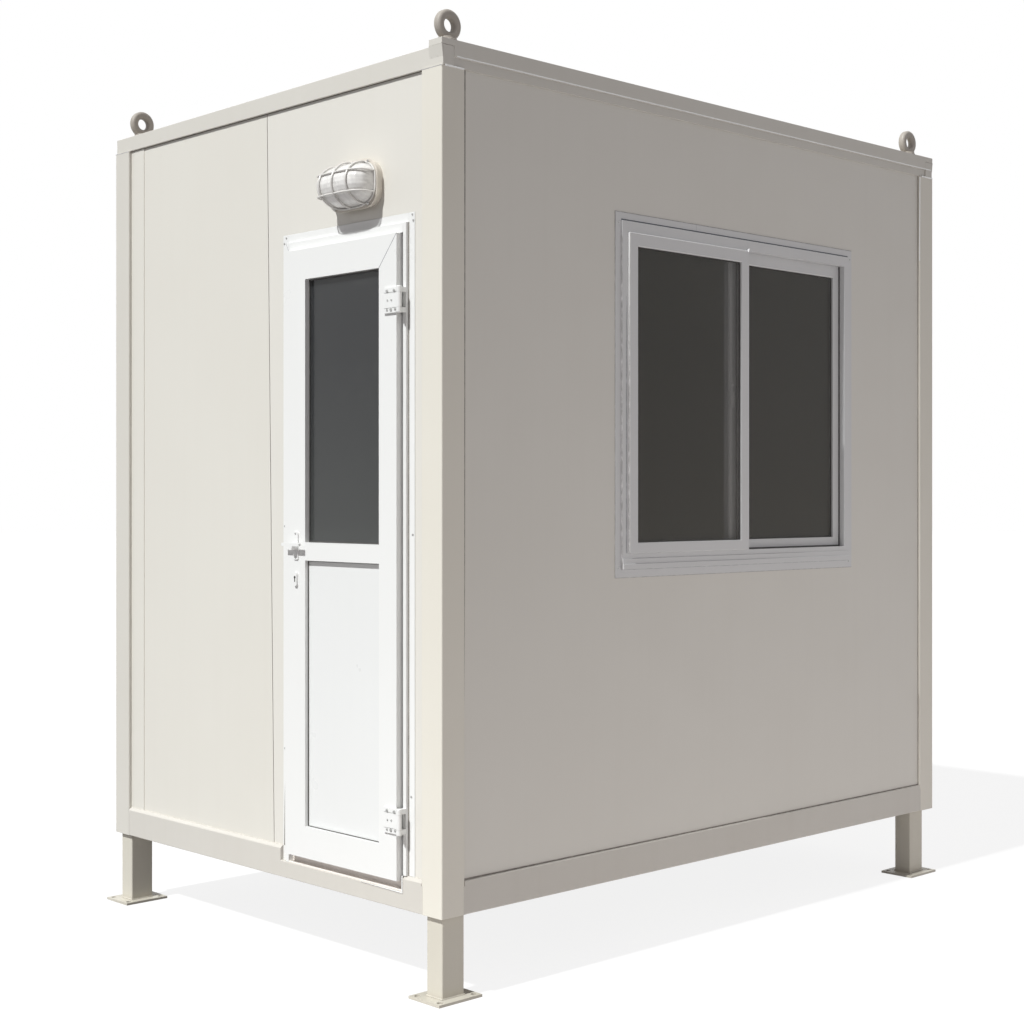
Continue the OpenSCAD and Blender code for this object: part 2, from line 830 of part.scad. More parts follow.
leg(-1, -1);  // leg_front_left
leg(1, -1);  // leg_front_right
leg(-1, 1);  // leg_back_left
leg(1, 1);  // leg_back_right
base_rail_front();
base_rail_back();
base_rail_side(x0);  // base_rail_left
base_rail_side(x1 - base_rail_d);  // base_rail_right
post(false, false);  // post_front_left
post(true, false);  // post_front_right
post(false, true);  // post_back_left
post(true, true);  // post_back_right
roof_rail_across(y0 + cross_rail_set);  // roof_rail_front
roof_rail_across(y1 - cross_rail_in);  // roof_rail_back
roof_rail_left();
roof_rail_right();
eye(eye_x0, y0 + eye_front_left, low_rail_z1, eye_stem);
eye(eye_x1, y0 + eye_front_right, z1, 0);
eye(eye_x0, y1 - eye_back, low_rail_z1, eye_stem);  // eye_back_left
eye(eye_x1, y1 - eye_back, z1, 0);  // eye_back_right
floor_deck();
roof_panel();
front_wall_left();
front_wall_middle();
front_wall_over_door();
front_wall_right();
left_wall();
back_wall();
right_wall();
door_jamb_left();
door_jamb_right();
door_head();
door_threshold();
door_stop([gap_x0, stop_x0], [gap_z0, gap_z1]);  // door_stop_left
door_stop([stop_x1, gap_x1], [gap_z0, gap_z1]);  // door_stop_right
door_stop([stop_x0, stop_x1], [gap_z1 - door_stop_w, gap_z1]);  // door_stop_head
door_leaf();
door_panel();
door_glass();
hinge_frame_halves();
hinge_leaf_halves();
handle_plates();
handle_lever();
window_frame();
window_outer_sash();
window_inner_sash();
window_outer_glass();
window_inner_glass();
window_latch();
lamp_base();
lamp_glass();
lamp_guard();
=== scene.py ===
"""Dresses the guard booth: paint, glass, seals and small fittings on its solids, in a plain studio."""

import logging
import math
from dataclasses import dataclass, field
from enum import Enum
from typing import Iterable, Optional, Sequence

import bmesh
import bpy
from mathutils import Matrix, Vector


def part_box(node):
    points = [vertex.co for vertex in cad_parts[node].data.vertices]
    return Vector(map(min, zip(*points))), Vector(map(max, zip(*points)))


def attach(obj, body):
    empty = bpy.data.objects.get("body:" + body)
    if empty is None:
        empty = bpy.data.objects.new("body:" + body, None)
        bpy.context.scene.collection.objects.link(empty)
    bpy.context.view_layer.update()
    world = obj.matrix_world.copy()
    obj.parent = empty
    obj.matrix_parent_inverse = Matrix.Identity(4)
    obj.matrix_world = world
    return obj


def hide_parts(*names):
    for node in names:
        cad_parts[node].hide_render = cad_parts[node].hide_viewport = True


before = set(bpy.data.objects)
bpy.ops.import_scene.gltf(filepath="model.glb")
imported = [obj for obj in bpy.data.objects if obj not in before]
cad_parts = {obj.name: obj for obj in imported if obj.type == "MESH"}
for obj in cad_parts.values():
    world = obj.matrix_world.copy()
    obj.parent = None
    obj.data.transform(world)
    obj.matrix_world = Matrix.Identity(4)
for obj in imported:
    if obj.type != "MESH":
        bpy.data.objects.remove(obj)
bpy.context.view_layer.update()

MM = 0.001
WELD_REACH = 0.02 * MM
SHARP_DEG = 35.0
ROUND_DEG = 40.0
log = logging.getLogger("guard_booth")

Color = tuple[float, float, float]
Point = tuple[float, float, float]
Pair = tuple[float, float]
Material = bpy.types.Material
Socket = bpy.types.NodeSocket


class Body(Enum):
    """The groups that new pieces ride on."""

    BOOTH = "booth"
    DOOR = "door"


class Slot(Enum):
    """The record's material slots that new pieces name; nothing applies them."""

    FRAME = "frame_paint"
    WALL = "wall_sheet"
    EYE = "eye_paint"
    DOOR = "door_white"
    WINDOW = "window_white"
    METAL = "handle_metal"
    LAMP = "lamp_white"
    LAMP_GLASS = "lamp_glass"


class Shader:
    """A material's node tree around one Principled shader."""

    def __init__(self, name: str) -> None:
        """Starts a material of that name with an empty Principled shader."""
        self.material = bpy.data.materials.new(name)
        self.material.use_nodes = True
        self.tree = self.material.node_tree
        self.bsdf = self.tree.nodes["Principled BSDF"]
        self.place = self.tree.nodes.new("ShaderNodeTexCoord").outputs["Object"]

    def add(self, kind: str, **inputs: object) -> bpy.types.Node:
        """Adds a node and fills its inputs.

        Args:
            kind: Blender's node type without the ShaderNode prefix.
            inputs: Values or sockets by input name, with underscores for spaces.

        Returns:
            The new node.
        """
        node = self.tree.nodes.new("ShaderNode" + kind)
        for key, value in inputs.items():
            self.fill(node.inputs[key.replace("_", " ")], value)
        return node

    def fill(self, socket: Socket, value: object) -> None:
        """Links a socket to an input, or sets the input's value."""
        if isinstance(value, Socket):
            self.tree.links.new(value, socket)
        elif isinstance(value, tuple) and len(value) == 3 and socket.type == "RGBA":
            socket.default_value = (*value, 1.0)
        else:
            socket.default_value = value

    def stretched(self, scale: Point) -> Socket:
        """Returns the object's coordinates stretched by a scale on each axis."""
        return self.add("Mapping", Vector=self.place, Scale=scale).outputs["Vector"]

    def noise(self, scale: float, detail: float = 3.0, stretch: Optional[Point] = None) -> Socket:
        """Returns a noise value from 0 to 1.

        Args:
            scale: Bumps to a metre.
            detail: Layers of finer noise.
            stretch: Scale of each axis before the noise, or none.

        Returns:
            The socket that carries the noise.
        """
        where = self.place if stretch is None else self.stretched(stretch)
        return self.add("TexNoise", Vector=where, Scale=scale, Detail=detail).outputs["Fac"]

    def spread(self, value: Socket, low: float, high: float,
               to_low: float = 0.0, to_high: float = 1.0) -> Socket:
        """Maps a value's range from low to high onto another range, clamped."""
        node = self.add("MapRange", Value=value, From_Min=low, From_Max=high, To_Min=to_low, To_Max=to_high)
        return node.outputs["Result"]

    def math(self, operation: str, a: object, b: object) -> Socket:
        """Returns the result of a math operation on two values or sockets."""
        node = self.add("Math")
        node.operation = operation
        self.fill(node.inputs[0], a)
        self.fill(node.inputs[1], b)
        return node.outputs[0]

    def mix(self, share: object, a: object, b: object) -> Socket:
        """Returns a colour between a and b by a share."""
        node = self.tree.nodes.new("ShaderNodeMix")
        node.data_type = "RGBA"
        for index, value in ((0, share), (6, a), (7, b)):
            self.fill(node.inputs[index], value)
        return node.outputs[2]

    def crevice(self, reach: float) -> Socket:
        """Returns how closed in a point is, from 0 in the open to 1 in a corner."""
        node = self.add("AmbientOcclusion", Distance=reach)
        node.samples = 4
        return self.math("SUBTRACT", 1.0, node.outputs["AO"])

    def edge(self, radius: float) -> Socket:
        """Returns how near a point is to a sharp edge, from 0 on flats to about 0.3 on the edge."""
        rounded = self.add("Bevel", Radius=radius)
        rounded.samples = 4
        plain = self.add("NewGeometry").outputs["Normal"]
        dot = self.add("VectorMath")
        dot.operation = "DOT_PRODUCT"
        self.fill(dot.inputs[0], rounded.outputs["Normal"])
        self.fill(dot.inputs[1], plain)
        return self.math("SUBTRACT", 1.0, dot.outputs["Value"])

    def bump(self, layers: Sequence[tuple[Socket, float]]) -> None:
        """Stacks height layers on the shader's normal.

        Args:
            layers: Pairs of a height socket and its depth in metres.
        """
        normal: Optional[Socket] = None
        for height, depth in layers:
            node = self.add("Bump", Height=height, Distance=depth, Strength=1.0)
            if normal is not None:
                self.fill(node.inputs["Normal"], normal)
            normal = node.outputs["Normal"]
        if normal is not None:
            self.fill(self.bsdf.inputs["Normal"], normal)

    def set(self, **inputs: object) -> None:
        """Fills the Principled shader's inputs by name, with underscores for spaces."""
        for key, value in inputs.items():
            self.fill(self.bsdf.inputs[key.replace("_", " ")], value)


@dataclass(frozen=True)
class PaintFinish:
    """Sprayed or powder-coated paint on steel or aluminium."""

    name: str
    color: Color
    shade: Color
    roughness: float = 0.42
    peel: float = 0.00008
    waves: float = 0.004
    streaks: float = 0.25
    # Strength and colour of the painted shade and dirt in corners and recesses.
    corner_shade_and_dirt: float = 0.12
    corner_shade_and_dirt_color: Color = (0.30, 0.26, 0.22)
    wear: float = 0.0
    wear_color: Color = (0.45, 0.42, 0.38)

    def make(self) -> Material:
        """Builds the paint.

        Returns:
            The material, with tint drift, runs, painted shade and dirt in corners, worn edges and orange peel.
        """
        paint = Shader(self.name)
        clouds = paint.noise(1.7, 4.0)
        runs = paint.noise(1.0, 5.0, (26.0, 26.0, 0.8))
        peel = paint.noise(520.0, 2.0)
        drift = paint.math("ADD", paint.spread(clouds, 0.35, 0.7, 0.0, 0.6),
                           paint.spread(runs, 0.5, 0.78, 0.0, self.streaks))
        tint = paint.mix(drift, self.color, self.shade)
        patches = paint.spread(paint.noise(14.0, 6.0), 0.35, 0.75)
        # Painted shade: ambient occlusion darkens corners and recesses, mixed with patchy dirt.
        corner = paint.math("MULTIPLY", paint.crevice(0.018), self.corner_shade_and_dirt)
        dirt_and_shade = paint.math("MULTIPLY", corner, paint.math("ADD", 0.45, patches))
        tint = paint.mix(dirt_and_shade, tint, self.corner_shade_and_dirt_color)
        if self.wear > 0.0:
            chips = paint.spread(paint.noise(70.0, 5.0), 0.52, 0.60)
            edge = paint.spread(paint.edge(0.004), 0.04, 0.2, 0.0, self.wear)
            tint = paint.mix(paint.math("MULTIPLY", edge, chips), tint, self.wear_color)
        gloss = paint.spread(paint.noise(6.0, 4.0), 0.3, 0.7, self.roughness - 0.05, self.roughness + 0.07)
        paint.set(Base_Color=tint, Roughness=gloss)
        paint.bump(((paint.noise(0.9, 1.0), self.waves), (peel, self.peel)))
        return paint.material


@dataclass(frozen=True)
class GlassFinish:
    """Tinted window glass with a little dust."""

    name: str
    color: Color
    dust: Color
    alpha: float
    foot: float
    head: float

    def make(self) -> Material:
        """Builds the glass.

        Returns:
            The material, smooth and partly see-through, with wipe marks and dust that thickens towards its foot.
        """
        glass = Shader(self.name)
        wipes = glass.noise(1.0, 6.0, (3.0, 3.0, 9.0))
        dust = glass.spread(glass.noise(38.0, 8.0), 0.5, 0.85, 0.0, 0.35)
        film = glass.math("MULTIPLY", glass.spread(wipes, 0.45, 0.8, 0.15, 1.0), dust)
        height = glass.add("SeparateXYZ", Vector=glass.place).outputs["Z"]
        film = glass.math("ADD", film, glass.spread(height, self.foot, self.head, 0.28, 0.0))
        tint = glass.mix(film, self.color, self.dust)
        glass.set(Base_Color=tint, Roughness=glass.spread(wipes, 0.3, 0.8, 0.03, 0.09), IOR=1.52,
                  Alpha=self.alpha)
        return glass.material


@dataclass(frozen=True)
class LampGlassFinish:
    """Milky pressed glass of the lamp's dome."""

    name: str
    color: Color
    alpha: float
    rib_scale: float = 24.0
    rib_depth: float = 0.0003

    def make(self) -> Material:
        """Builds the pressed glass.

        Returns:
            The material, milky with uneven thickness and pressed ribs both ways.
        """
        glass = Shader(self.name)
        uneven = glass.noise(60.0, 3.0)
        ribs = []
        for axis in ("X", "Z"):
            wave = glass.add("TexWave", Vector=glass.place, Scale=self.rib_scale)
            wave.bands_direction = axis
            ribs.append((wave.outputs["Fac"], self.rib_depth))
        tint = glass.mix(glass.spread(uneven, 0.3, 0.75), self.color, tuple(c * 0.82 for c in self.color))
        glass.set(Base_Color=tint, Roughness=glass.spread(uneven, 0.3, 0.8, 0.07, 0.2), IOR=1.48,
                  Alpha=self.alpha, Coat_Weight=0.4)
        glass.bump([(uneven, 0.0010), *ribs])
        return glass.material


@dataclass(frozen=True)
class MetalFinish:
    """Satin or raw metal of the small fittings."""

    name: str
    color: Color
    roughness: float = 0.36

    def make(self) -> Material:
        """Builds the metal.

        Returns:
            The material, brushed, with handling marks.
        """
        metal = Shader(self.name)
        brush = metal.noise(1.0, 3.0, (900.0, 60.0, 60.0))
        marks = metal.noise(55.0, 5.0)
        tint = metal.mix(metal.spread(marks, 0.35, 0.75), self.color, tuple(c * 0.72 for c in self.color))
        gloss = metal.spread(marks, 0.3, 0.75, self.roughness - 0.07, self.roughness + 0.14)
        metal.set(Base_Color=tint, Roughness=gloss, Metallic=0.85)
        metal.bump(((brush, 0.00004),))
        return metal.material


@dataclass(frozen=True)
class RubberFinish:
    """Dark seals, shadow gaps and sealant."""

    name: str
    color: Color
    roughness: float = 0.7

    def make(self) -> Material:
        """Builds the rubber.

        Returns:
            The material, dull with dusty patches.
        """
        rubber = Shader(self.name)
        dust = rubber.spread(rubber.noise(45.0, 6.0), 0.42, 0.75, 0.0, 0.5)
        tint = rubber.mix(dust, self.color, tuple(min(1.0, c * 2.2 + 0.02) for c in self.color))
        rubber.set(Base_Color=tint, Roughness=rubber.spread(dust, 0.0, 0.5, self.roughness - 0.1, self.roughness))
        rubber.bump(((rubber.noise(260.0, 2.0), 0.0001),))
        return rubber.material


@dataclass(frozen=True)
class BoardFinish:
    """Sealed floor board with a fine grain."""

    name: str
    color: Color
    grain: Color

    def make(self) -> Material:
        """Builds the board.

        Returns:
            The material, with grain along the cabin and scuffs.
        """
        board = Shader(self.name)
        grain = board.noise(1.0, 8.0, (70.0, 3.0, 70.0))
        scuffs = board.spread(board.noise(9.0, 6.0), 0.5, 0.8, 0.0, 0.6)
        tint = board.mix(board.spread(grain, 0.3, 0.7), self.color, self.grain)
        board.set(Base_Color=board.mix(scuffs, tint, (0.36, 0.34, 0.31)),
                  Roughness=board.spread(grain, 0.3, 0.7, 0.45, 0.65))
        board.bump(((grain, 0.0004),))
        return board.material


class Finishes:
    """Every material of the booth, built once."""

    def __init__(self) -> None:
        """Builds the materials."""
        self.rail = PaintFinish("rail_cream", (0.675, 0.652, 0.605), (0.640, 0.615, 0.560), wear=0.3,
                                corner_shade_and_dirt=0.3).make()
        self.base = PaintFinish("base_cream", (0.645, 0.620, 0.575), (0.605, 0.575, 0.525), wear=0.4,
                                corner_shade_and_dirt=0.4).make()
        self.leg = PaintFinish("leg_cream", (0.635, 0.605, 0.530), (0.590, 0.555, 0.475), wear=0.5,
                               corner_shade_and_dirt=0.5).make()
        self.post = PaintFinish("post_cream", (0.775, 0.745, 0.672), (0.745, 0.712, 0.632), wear=0.2,
                                corner_shade_and_dirt=0.2).make()
        self.wall = PaintFinish("wall_cream", (0.757, 0.735, 0.684), (0.732, 0.708, 0.655), 0.40,
                                waves=0.007, corner_shade_and_dirt=0.15).make()
        self.panel = PaintFinish("panel_cream", (0.740, 0.717, 0.660), (0.715, 0.690, 0.632), 0.40,
                                 waves=0.007, corner_shade_and_dirt=0.15).make()
        self.roof = PaintFinish("roof_dusty", (0.60, 0.575, 0.525), (0.52, 0.49, 0.44), 0.55, waves=0.007,
                                corner_shade_and_dirt=0.4).make()
        self.eye = PaintFinish("eye_beige", (0.42, 0.385, 0.345), (0.33, 0.295, 0.26), 0.5, peel=0.0003,
                               corner_shade_and_dirt=0.5, wear=0.8, wear_color=(0.20, 0.17, 0.15)).make()
        self.deck = BoardFinish("deck_board", (0.27, 0.25, 0.22), (0.19, 0.17, 0.145)).make()
        self.door = PaintFinish("door_white", (0.848, 0.850, 0.842), (0.832, 0.831, 0.820), 0.32, waves=0.002,
                                corner_shade_and_dirt=0.10, corner_shade_and_dirt_color=(0.42, 0.40, 0.38)).make()
        # Painted light: the sill is lighter and warmer than the frame's white, lifting and tinting the leaf's shadow
        # on it.
        self.sill = PaintFinish("sill_shade_lift", (0.93, 0.88, 0.83), (0.86, 0.80, 0.745), 0.4, corner_shade_and_dirt=0.3).make()
        self.infill = PaintFinish("infill_white", (0.810, 0.815, 0.811), (0.790, 0.795, 0.788), 0.32, waves=0.003,
                                  corner_shade_and_dirt=0.10, corner_shade_and_dirt_color=(0.42, 0.40, 0.38)).make()
        # Painted shade: the window's white is greyer than the door's, standing for the dim light on the window's
        # side.
        self.window = PaintFinish("window_white", (0.700, 0.703, 0.708), (0.672, 0.672, 0.676), 0.34, waves=0.002,
                                  corner_shade_and_dirt=0.2, corner_shade_and_dirt_color=(0.30, 0.29, 0.31)).make()
        self.pane = GlassFinish("pane_warm", (0.058, 0.054, 0.045), (0.22, 0.20, 0.155), 0.30, 1.25, 2.0).make()
        self.door_pane = GlassFinish("pane_cool", (0.038, 0.040, 0.043), (0.16, 0.17, 0.155), 0.62, 1.30, 1.9).make()
        self.metal = MetalFinish("fitting_satin", (0.52, 0.52, 0.51)).make()
        self.lamp = PaintFinish("lamp_enamel", (0.755, 0.705, 0.635), (0.70, 0.645, 0.57), 0.35, corner_shade_and_dirt=0.35).make()
        self.wire = PaintFinish("guard_grey", (0.74, 0.725, 0.70), (0.66, 0.64, 0.615), 0.3, corner_shade_and_dirt=0.04).make()
        self.lamp_glass = LampGlassFinish("lamp_dome", (0.88, 0.862, 0.84), 0.97).make()
        self.rubber = RubberFinish("seal_dark", (0.055, 0.052, 0.050)).make()
        self.gap = RubberFinish("gap_shadow", (0.16, 0.14, 0.12), 0.85).make()
        self.joint = RubberFinish("joint_grey", (0.36, 0.36, 0.38), 0.8).make()
        self.groove = RubberFinish("corner_shade_blue", (0.11, 0.12, 0.14), 0.8).make()
        self.sealant = RubberFinish("sealant_pale", (0.42, 0.41, 0.41), 0.8).make()
        self.joint_shade = RubberFinish("joint_shade_tan", (0.27, 0.245, 0.225), 0.8).make()


class Piece:
    """One new mesh, gathered in the shared frame and then handed to a body."""

    def __init__(self, name: str) -> None:
        """Starts an empty mesh of that name."""
        self.name = name
        self.bm = bmesh.new()

    def box(self, a: Point, b: Point) -> "Piece":
        """Adds a box between two opposite corners."""
        (x0, y0, z0), (x1, y1, z1) = a, b
        return self.prism([(x0, y0, z0), (x1, y0, z0), (x1, y1, z0), (x0, y1, z0)], (0.0, 0.0, z1 - z0))

    def prism(self, outline: Sequence[Point], push: Point) -> "Piece":
        """Adds a flat outline pushed into a solid.

        Args:
            outline: Corners in order, in one plane.
            push: The way and distance of the push.

        Returns:
            The piece.
        """
        near = [self.bm.verts.new(p) for p in outline]
        far = [self.bm.verts.new(Vector(p) + Vector(push)) for p in outline]
        faces = [self.bm.faces.new(near), self.bm.faces.new(list(reversed(far)))]
        for i, corner in enumerate(near):
            j = (i + 1) % len(near)
            faces.append(self.bm.faces.new((corner, far[i], far[j], near[j])))
        bmesh.ops.recalc_face_normals(self.bm, faces=faces)
        return self

    def lathe(self, profile: Sequence[Pair], origin: Point, axis: Point, segments: int = 16) -> "Piece":
        """Adds a turned solid.

        Args:
            profile: Pairs of radius and height along the axis, from the bottom to the top.
            origin: Where height 0 is.
            axis: The way that height grows.
            segments: Sides of the turned solid.

        Returns:
            The piece.
        """
        turn = Vector(axis).to_track_quat("Z", "Y").to_matrix().to_4x4()
        matrix = Matrix.Translation(origin) @ turn
        rings: list[list[bmesh.types.BMVert]] = []
        for radius, height in profile:
            if radius < 1e-7:
                rings.append([self.bm.verts.new(matrix @ Vector((0, 0, height)))])
                continue
            turns = (2 * math.pi * k / segments for k in range(segments))
            rings.append([self.bm.verts.new(matrix @ Vector((radius * math.cos(a), radius * math.sin(a), height)))
                          for a in turns])
        faces = []
        for low, high in zip(rings, rings[1:]):
            for k in range(segments):
                corners = (low[k % len(low)], low[(k + 1) % len(low)], high[(k + 1) % len(high)],
                           high[k % len(high)])
                unique = list(dict.fromkeys(corners))
                if len(unique) > 2:
                    faces.append(self.bm.faces.new(unique))
        for ring in (rings[0], rings[-1]):
            if len(ring) > 2:
                faces.append(self.bm.faces.new(ring))
        bmesh.ops.recalc_face_normals(self.bm, faces=faces)
        return self

    def ring(self, outer: Sequence[Point], inner: Sequence[Point], push: Point) -> "Piece":
        """Adds a flat ring pushed into a solid.

        Args:
            outer: Corners of its outer edge, in one plane.
            inner: As many corners of its inner edge, in the same plane and order.
            push: The way and distance of the push.

        Returns:
            The piece.
        """
        loops = [[self.bm.verts.new(Vector(p) + Vector(d)) for p in loop]
                 for loop, d in ((outer, (0, 0, 0)), (inner, (0, 0, 0)), (inner, push), (outer, push))]
        faces = []
        for a, b in zip(loops, loops[1:] + loops[:1]):
            for i in range(len(a)):
                j = (i + 1) % len(a)
                faces.append(self.bm.faces.new((a[i], a[j], b[j], b[i])))
        bmesh.ops.recalc_face_normals(self.bm, faces=faces)
        return self

    def line(self, start: Point, end: Point, across: Point, push: Point) -> "Piece":
        """Adds a thin straight strip.

        Args:
            start: Middle of its first end.
            end: Middle of its last end.
            across: Half of its width, as a step to one side.
            push: Its thickness, as a step off the surface.

        Returns:
            The piece.
        """
        a, b, side = Vector(start), Vector(end), Vector(across)
        return self.prism([tuple(a - side), tuple(b - side), tuple(b + side), tuple(a + side)], push)

    def screw(self, at: Point, axis: Point, radius: float) -> "Piece":
        """Adds a pan-head screw with a driver recess, standing on a surface."""
        profile = [(1.0, 0.0), (1.0, 0.22), (0.88, 0.46), (0.6, 0.6), (0.42, 0.62), (0.34, 0.36), (0.0, 0.30)]
        return self.lathe([(r * radius, h * radius) for r, h in profile], at, axis, 14)

    def bead(self, corners: Sequence[Point], radius: float, closed: bool = False,
             step: float = 5.0 * MM) -> "Piece":
        """Adds a rippled weld bead along straight stretches.

        Args:
            corners: Corners of its path.
            radius: Radius of the bead.
            closed: Whether the last corner joins the first.
            step: Distance between the ripples' points.

        Returns:
            The piece.
        """
        points = [Vector(c) for c in corners]
        ends = points[1:] + points[:1] if closed else points[1:]
        path: list[Vector] = []
        for a, b in zip(points, ends):
            count = max(2, round((b - a).length / step))
            path += [a.lerp(b, i / count) for i in range(count)]
        if not closed:
            path.append(points[-1])
        return self.tube([tuple(p) for p in path], radius, 6, closed, 0.16)

    def tube(self, path: Sequence[Point], radius: float, sides: int = 8, closed: bool = False,
             ripple: float = 0.0) -> "Piece":
        """Adds a round wire along a path.

        Args:
            path: Points of its middle line.
            radius: The wire's radius.
            sides: Sides of its section.
            closed: Whether the last point joins the first.
            ripple: Share by which the radius swells and shrinks from point to point.

        Returns:
            The piece.
        """
        points = [Vector(p) for p in path]
        count = len(points)
        rings = []
        side = None
        for i, point in enumerate(points):
            before = points[(i - 1) % count] if closed or i else point
            after = points[(i + 1) % count] if closed or i < count - 1 else point
            along = (after - before).normalized()
            side = along.orthogonal() if side is None else side - along * side.dot(along)
            side.normalize()
            other = along.cross(side)
            size = radius * (1.0 + ripple * math.sin(2.1 * i) * math.cos(0.37 * i))
            rings.append([self.bm.verts.new(point + size * (side * math.cos(a) + other * math.sin(a)))
                          for a in (2 * math.pi * k / sides for k in range(sides))])
        faces = []
        for i in range(count if closed else count - 1):
            low, high = rings[i], rings[(i + 1) % count]
            for k in range(sides):
                j = (k + 1) % sides
                faces.append(self.bm.faces.new((low[k], low[j], high[j], high[k])))
        if not closed:
            faces += [self.bm.faces.new(rings[0]), self.bm.faces.new(rings[-1])]
        bmesh.ops.recalc_face_normals(self.bm, faces=faces)
        return self

    def ride(self, body: Body, material: Material, slot: Optional[Slot] = None, bevel: float = 0.0,
             replaces: Iterable[str] = (), smooth: bool = True) -> bpy.types.Object:
        """Makes the object and hands it to its body.

        Args:
            body: The body that carries it.
            material: Its finish.
            slot: The record's slot for that finish, or none. Not used.
            bevel: Width of the rounding on its edges, in metres.
            replaces: Solids that it stands for.
            smooth: Whether its faces are shaded smooth below a sharp angle.

        Returns:
            The finished object.
        """
        mesh = bpy.data.meshes.new(self.name)
        self.bm.to_mesh(mesh)
        self.bm.free()
        thing = bpy.data.objects.new(self.name, mesh)
        bpy.context.scene.collection.objects.link(thing)
        mesh.materials.append(material)
        if smooth:
            mesh.shade_smooth()
            mesh.set_sharp_from_angle(angle=math.radians(SHARP_DEG))
        if bevel > 0.0:
            round_edges(thing, bevel)
        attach(thing, body.value)
        names = list(replaces)
        if names:
            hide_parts(*names)
        log.info("%s: %d faces on %s", self.name, len(mesh.polygons), body.value)
        return thing


def round_edges(thing: bpy.types.Object, width: float, segments: int = 2) -> None:
    """Rounds an object's sharp edges with modifiers.

    Args:
        thing: The object, whose own mesh stays as it is.
        width: Width of the rounding, in metres.
        segments: Faces across the rounding.
    """
    weld = thing.modifiers.new("join", "WELD")
    weld.merge_threshold = WELD_REACH
    bevel = thing.modifiers.new("edges", "BEVEL")
    bevel.width = width
    bevel.segments = segments
    bevel.limit_method = "ANGLE"
    bevel.angle_limit = math.radians(ROUND_DEG)
    bevel.harden_normals = True


def dress(nodes: Iterable[str], material: Material, bevel: float = 0.0, segments: int = 2) -> None:
    """Gives solids their finish and rounds their edges.

    Args:
        nodes: Names of the solids.
        material: Their finish.
        bevel: Width of the rounding, in metres, or 0 for none.
        segments: Faces across the rounding.
    """
    for name in nodes:
        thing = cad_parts[name]
        thing.data.materials.clear()
        thing.data.materials.append(material)
        if bevel > 0.0:
            round_edges(thing, bevel, segments)
        log.info("%s: %s", name, material.name)


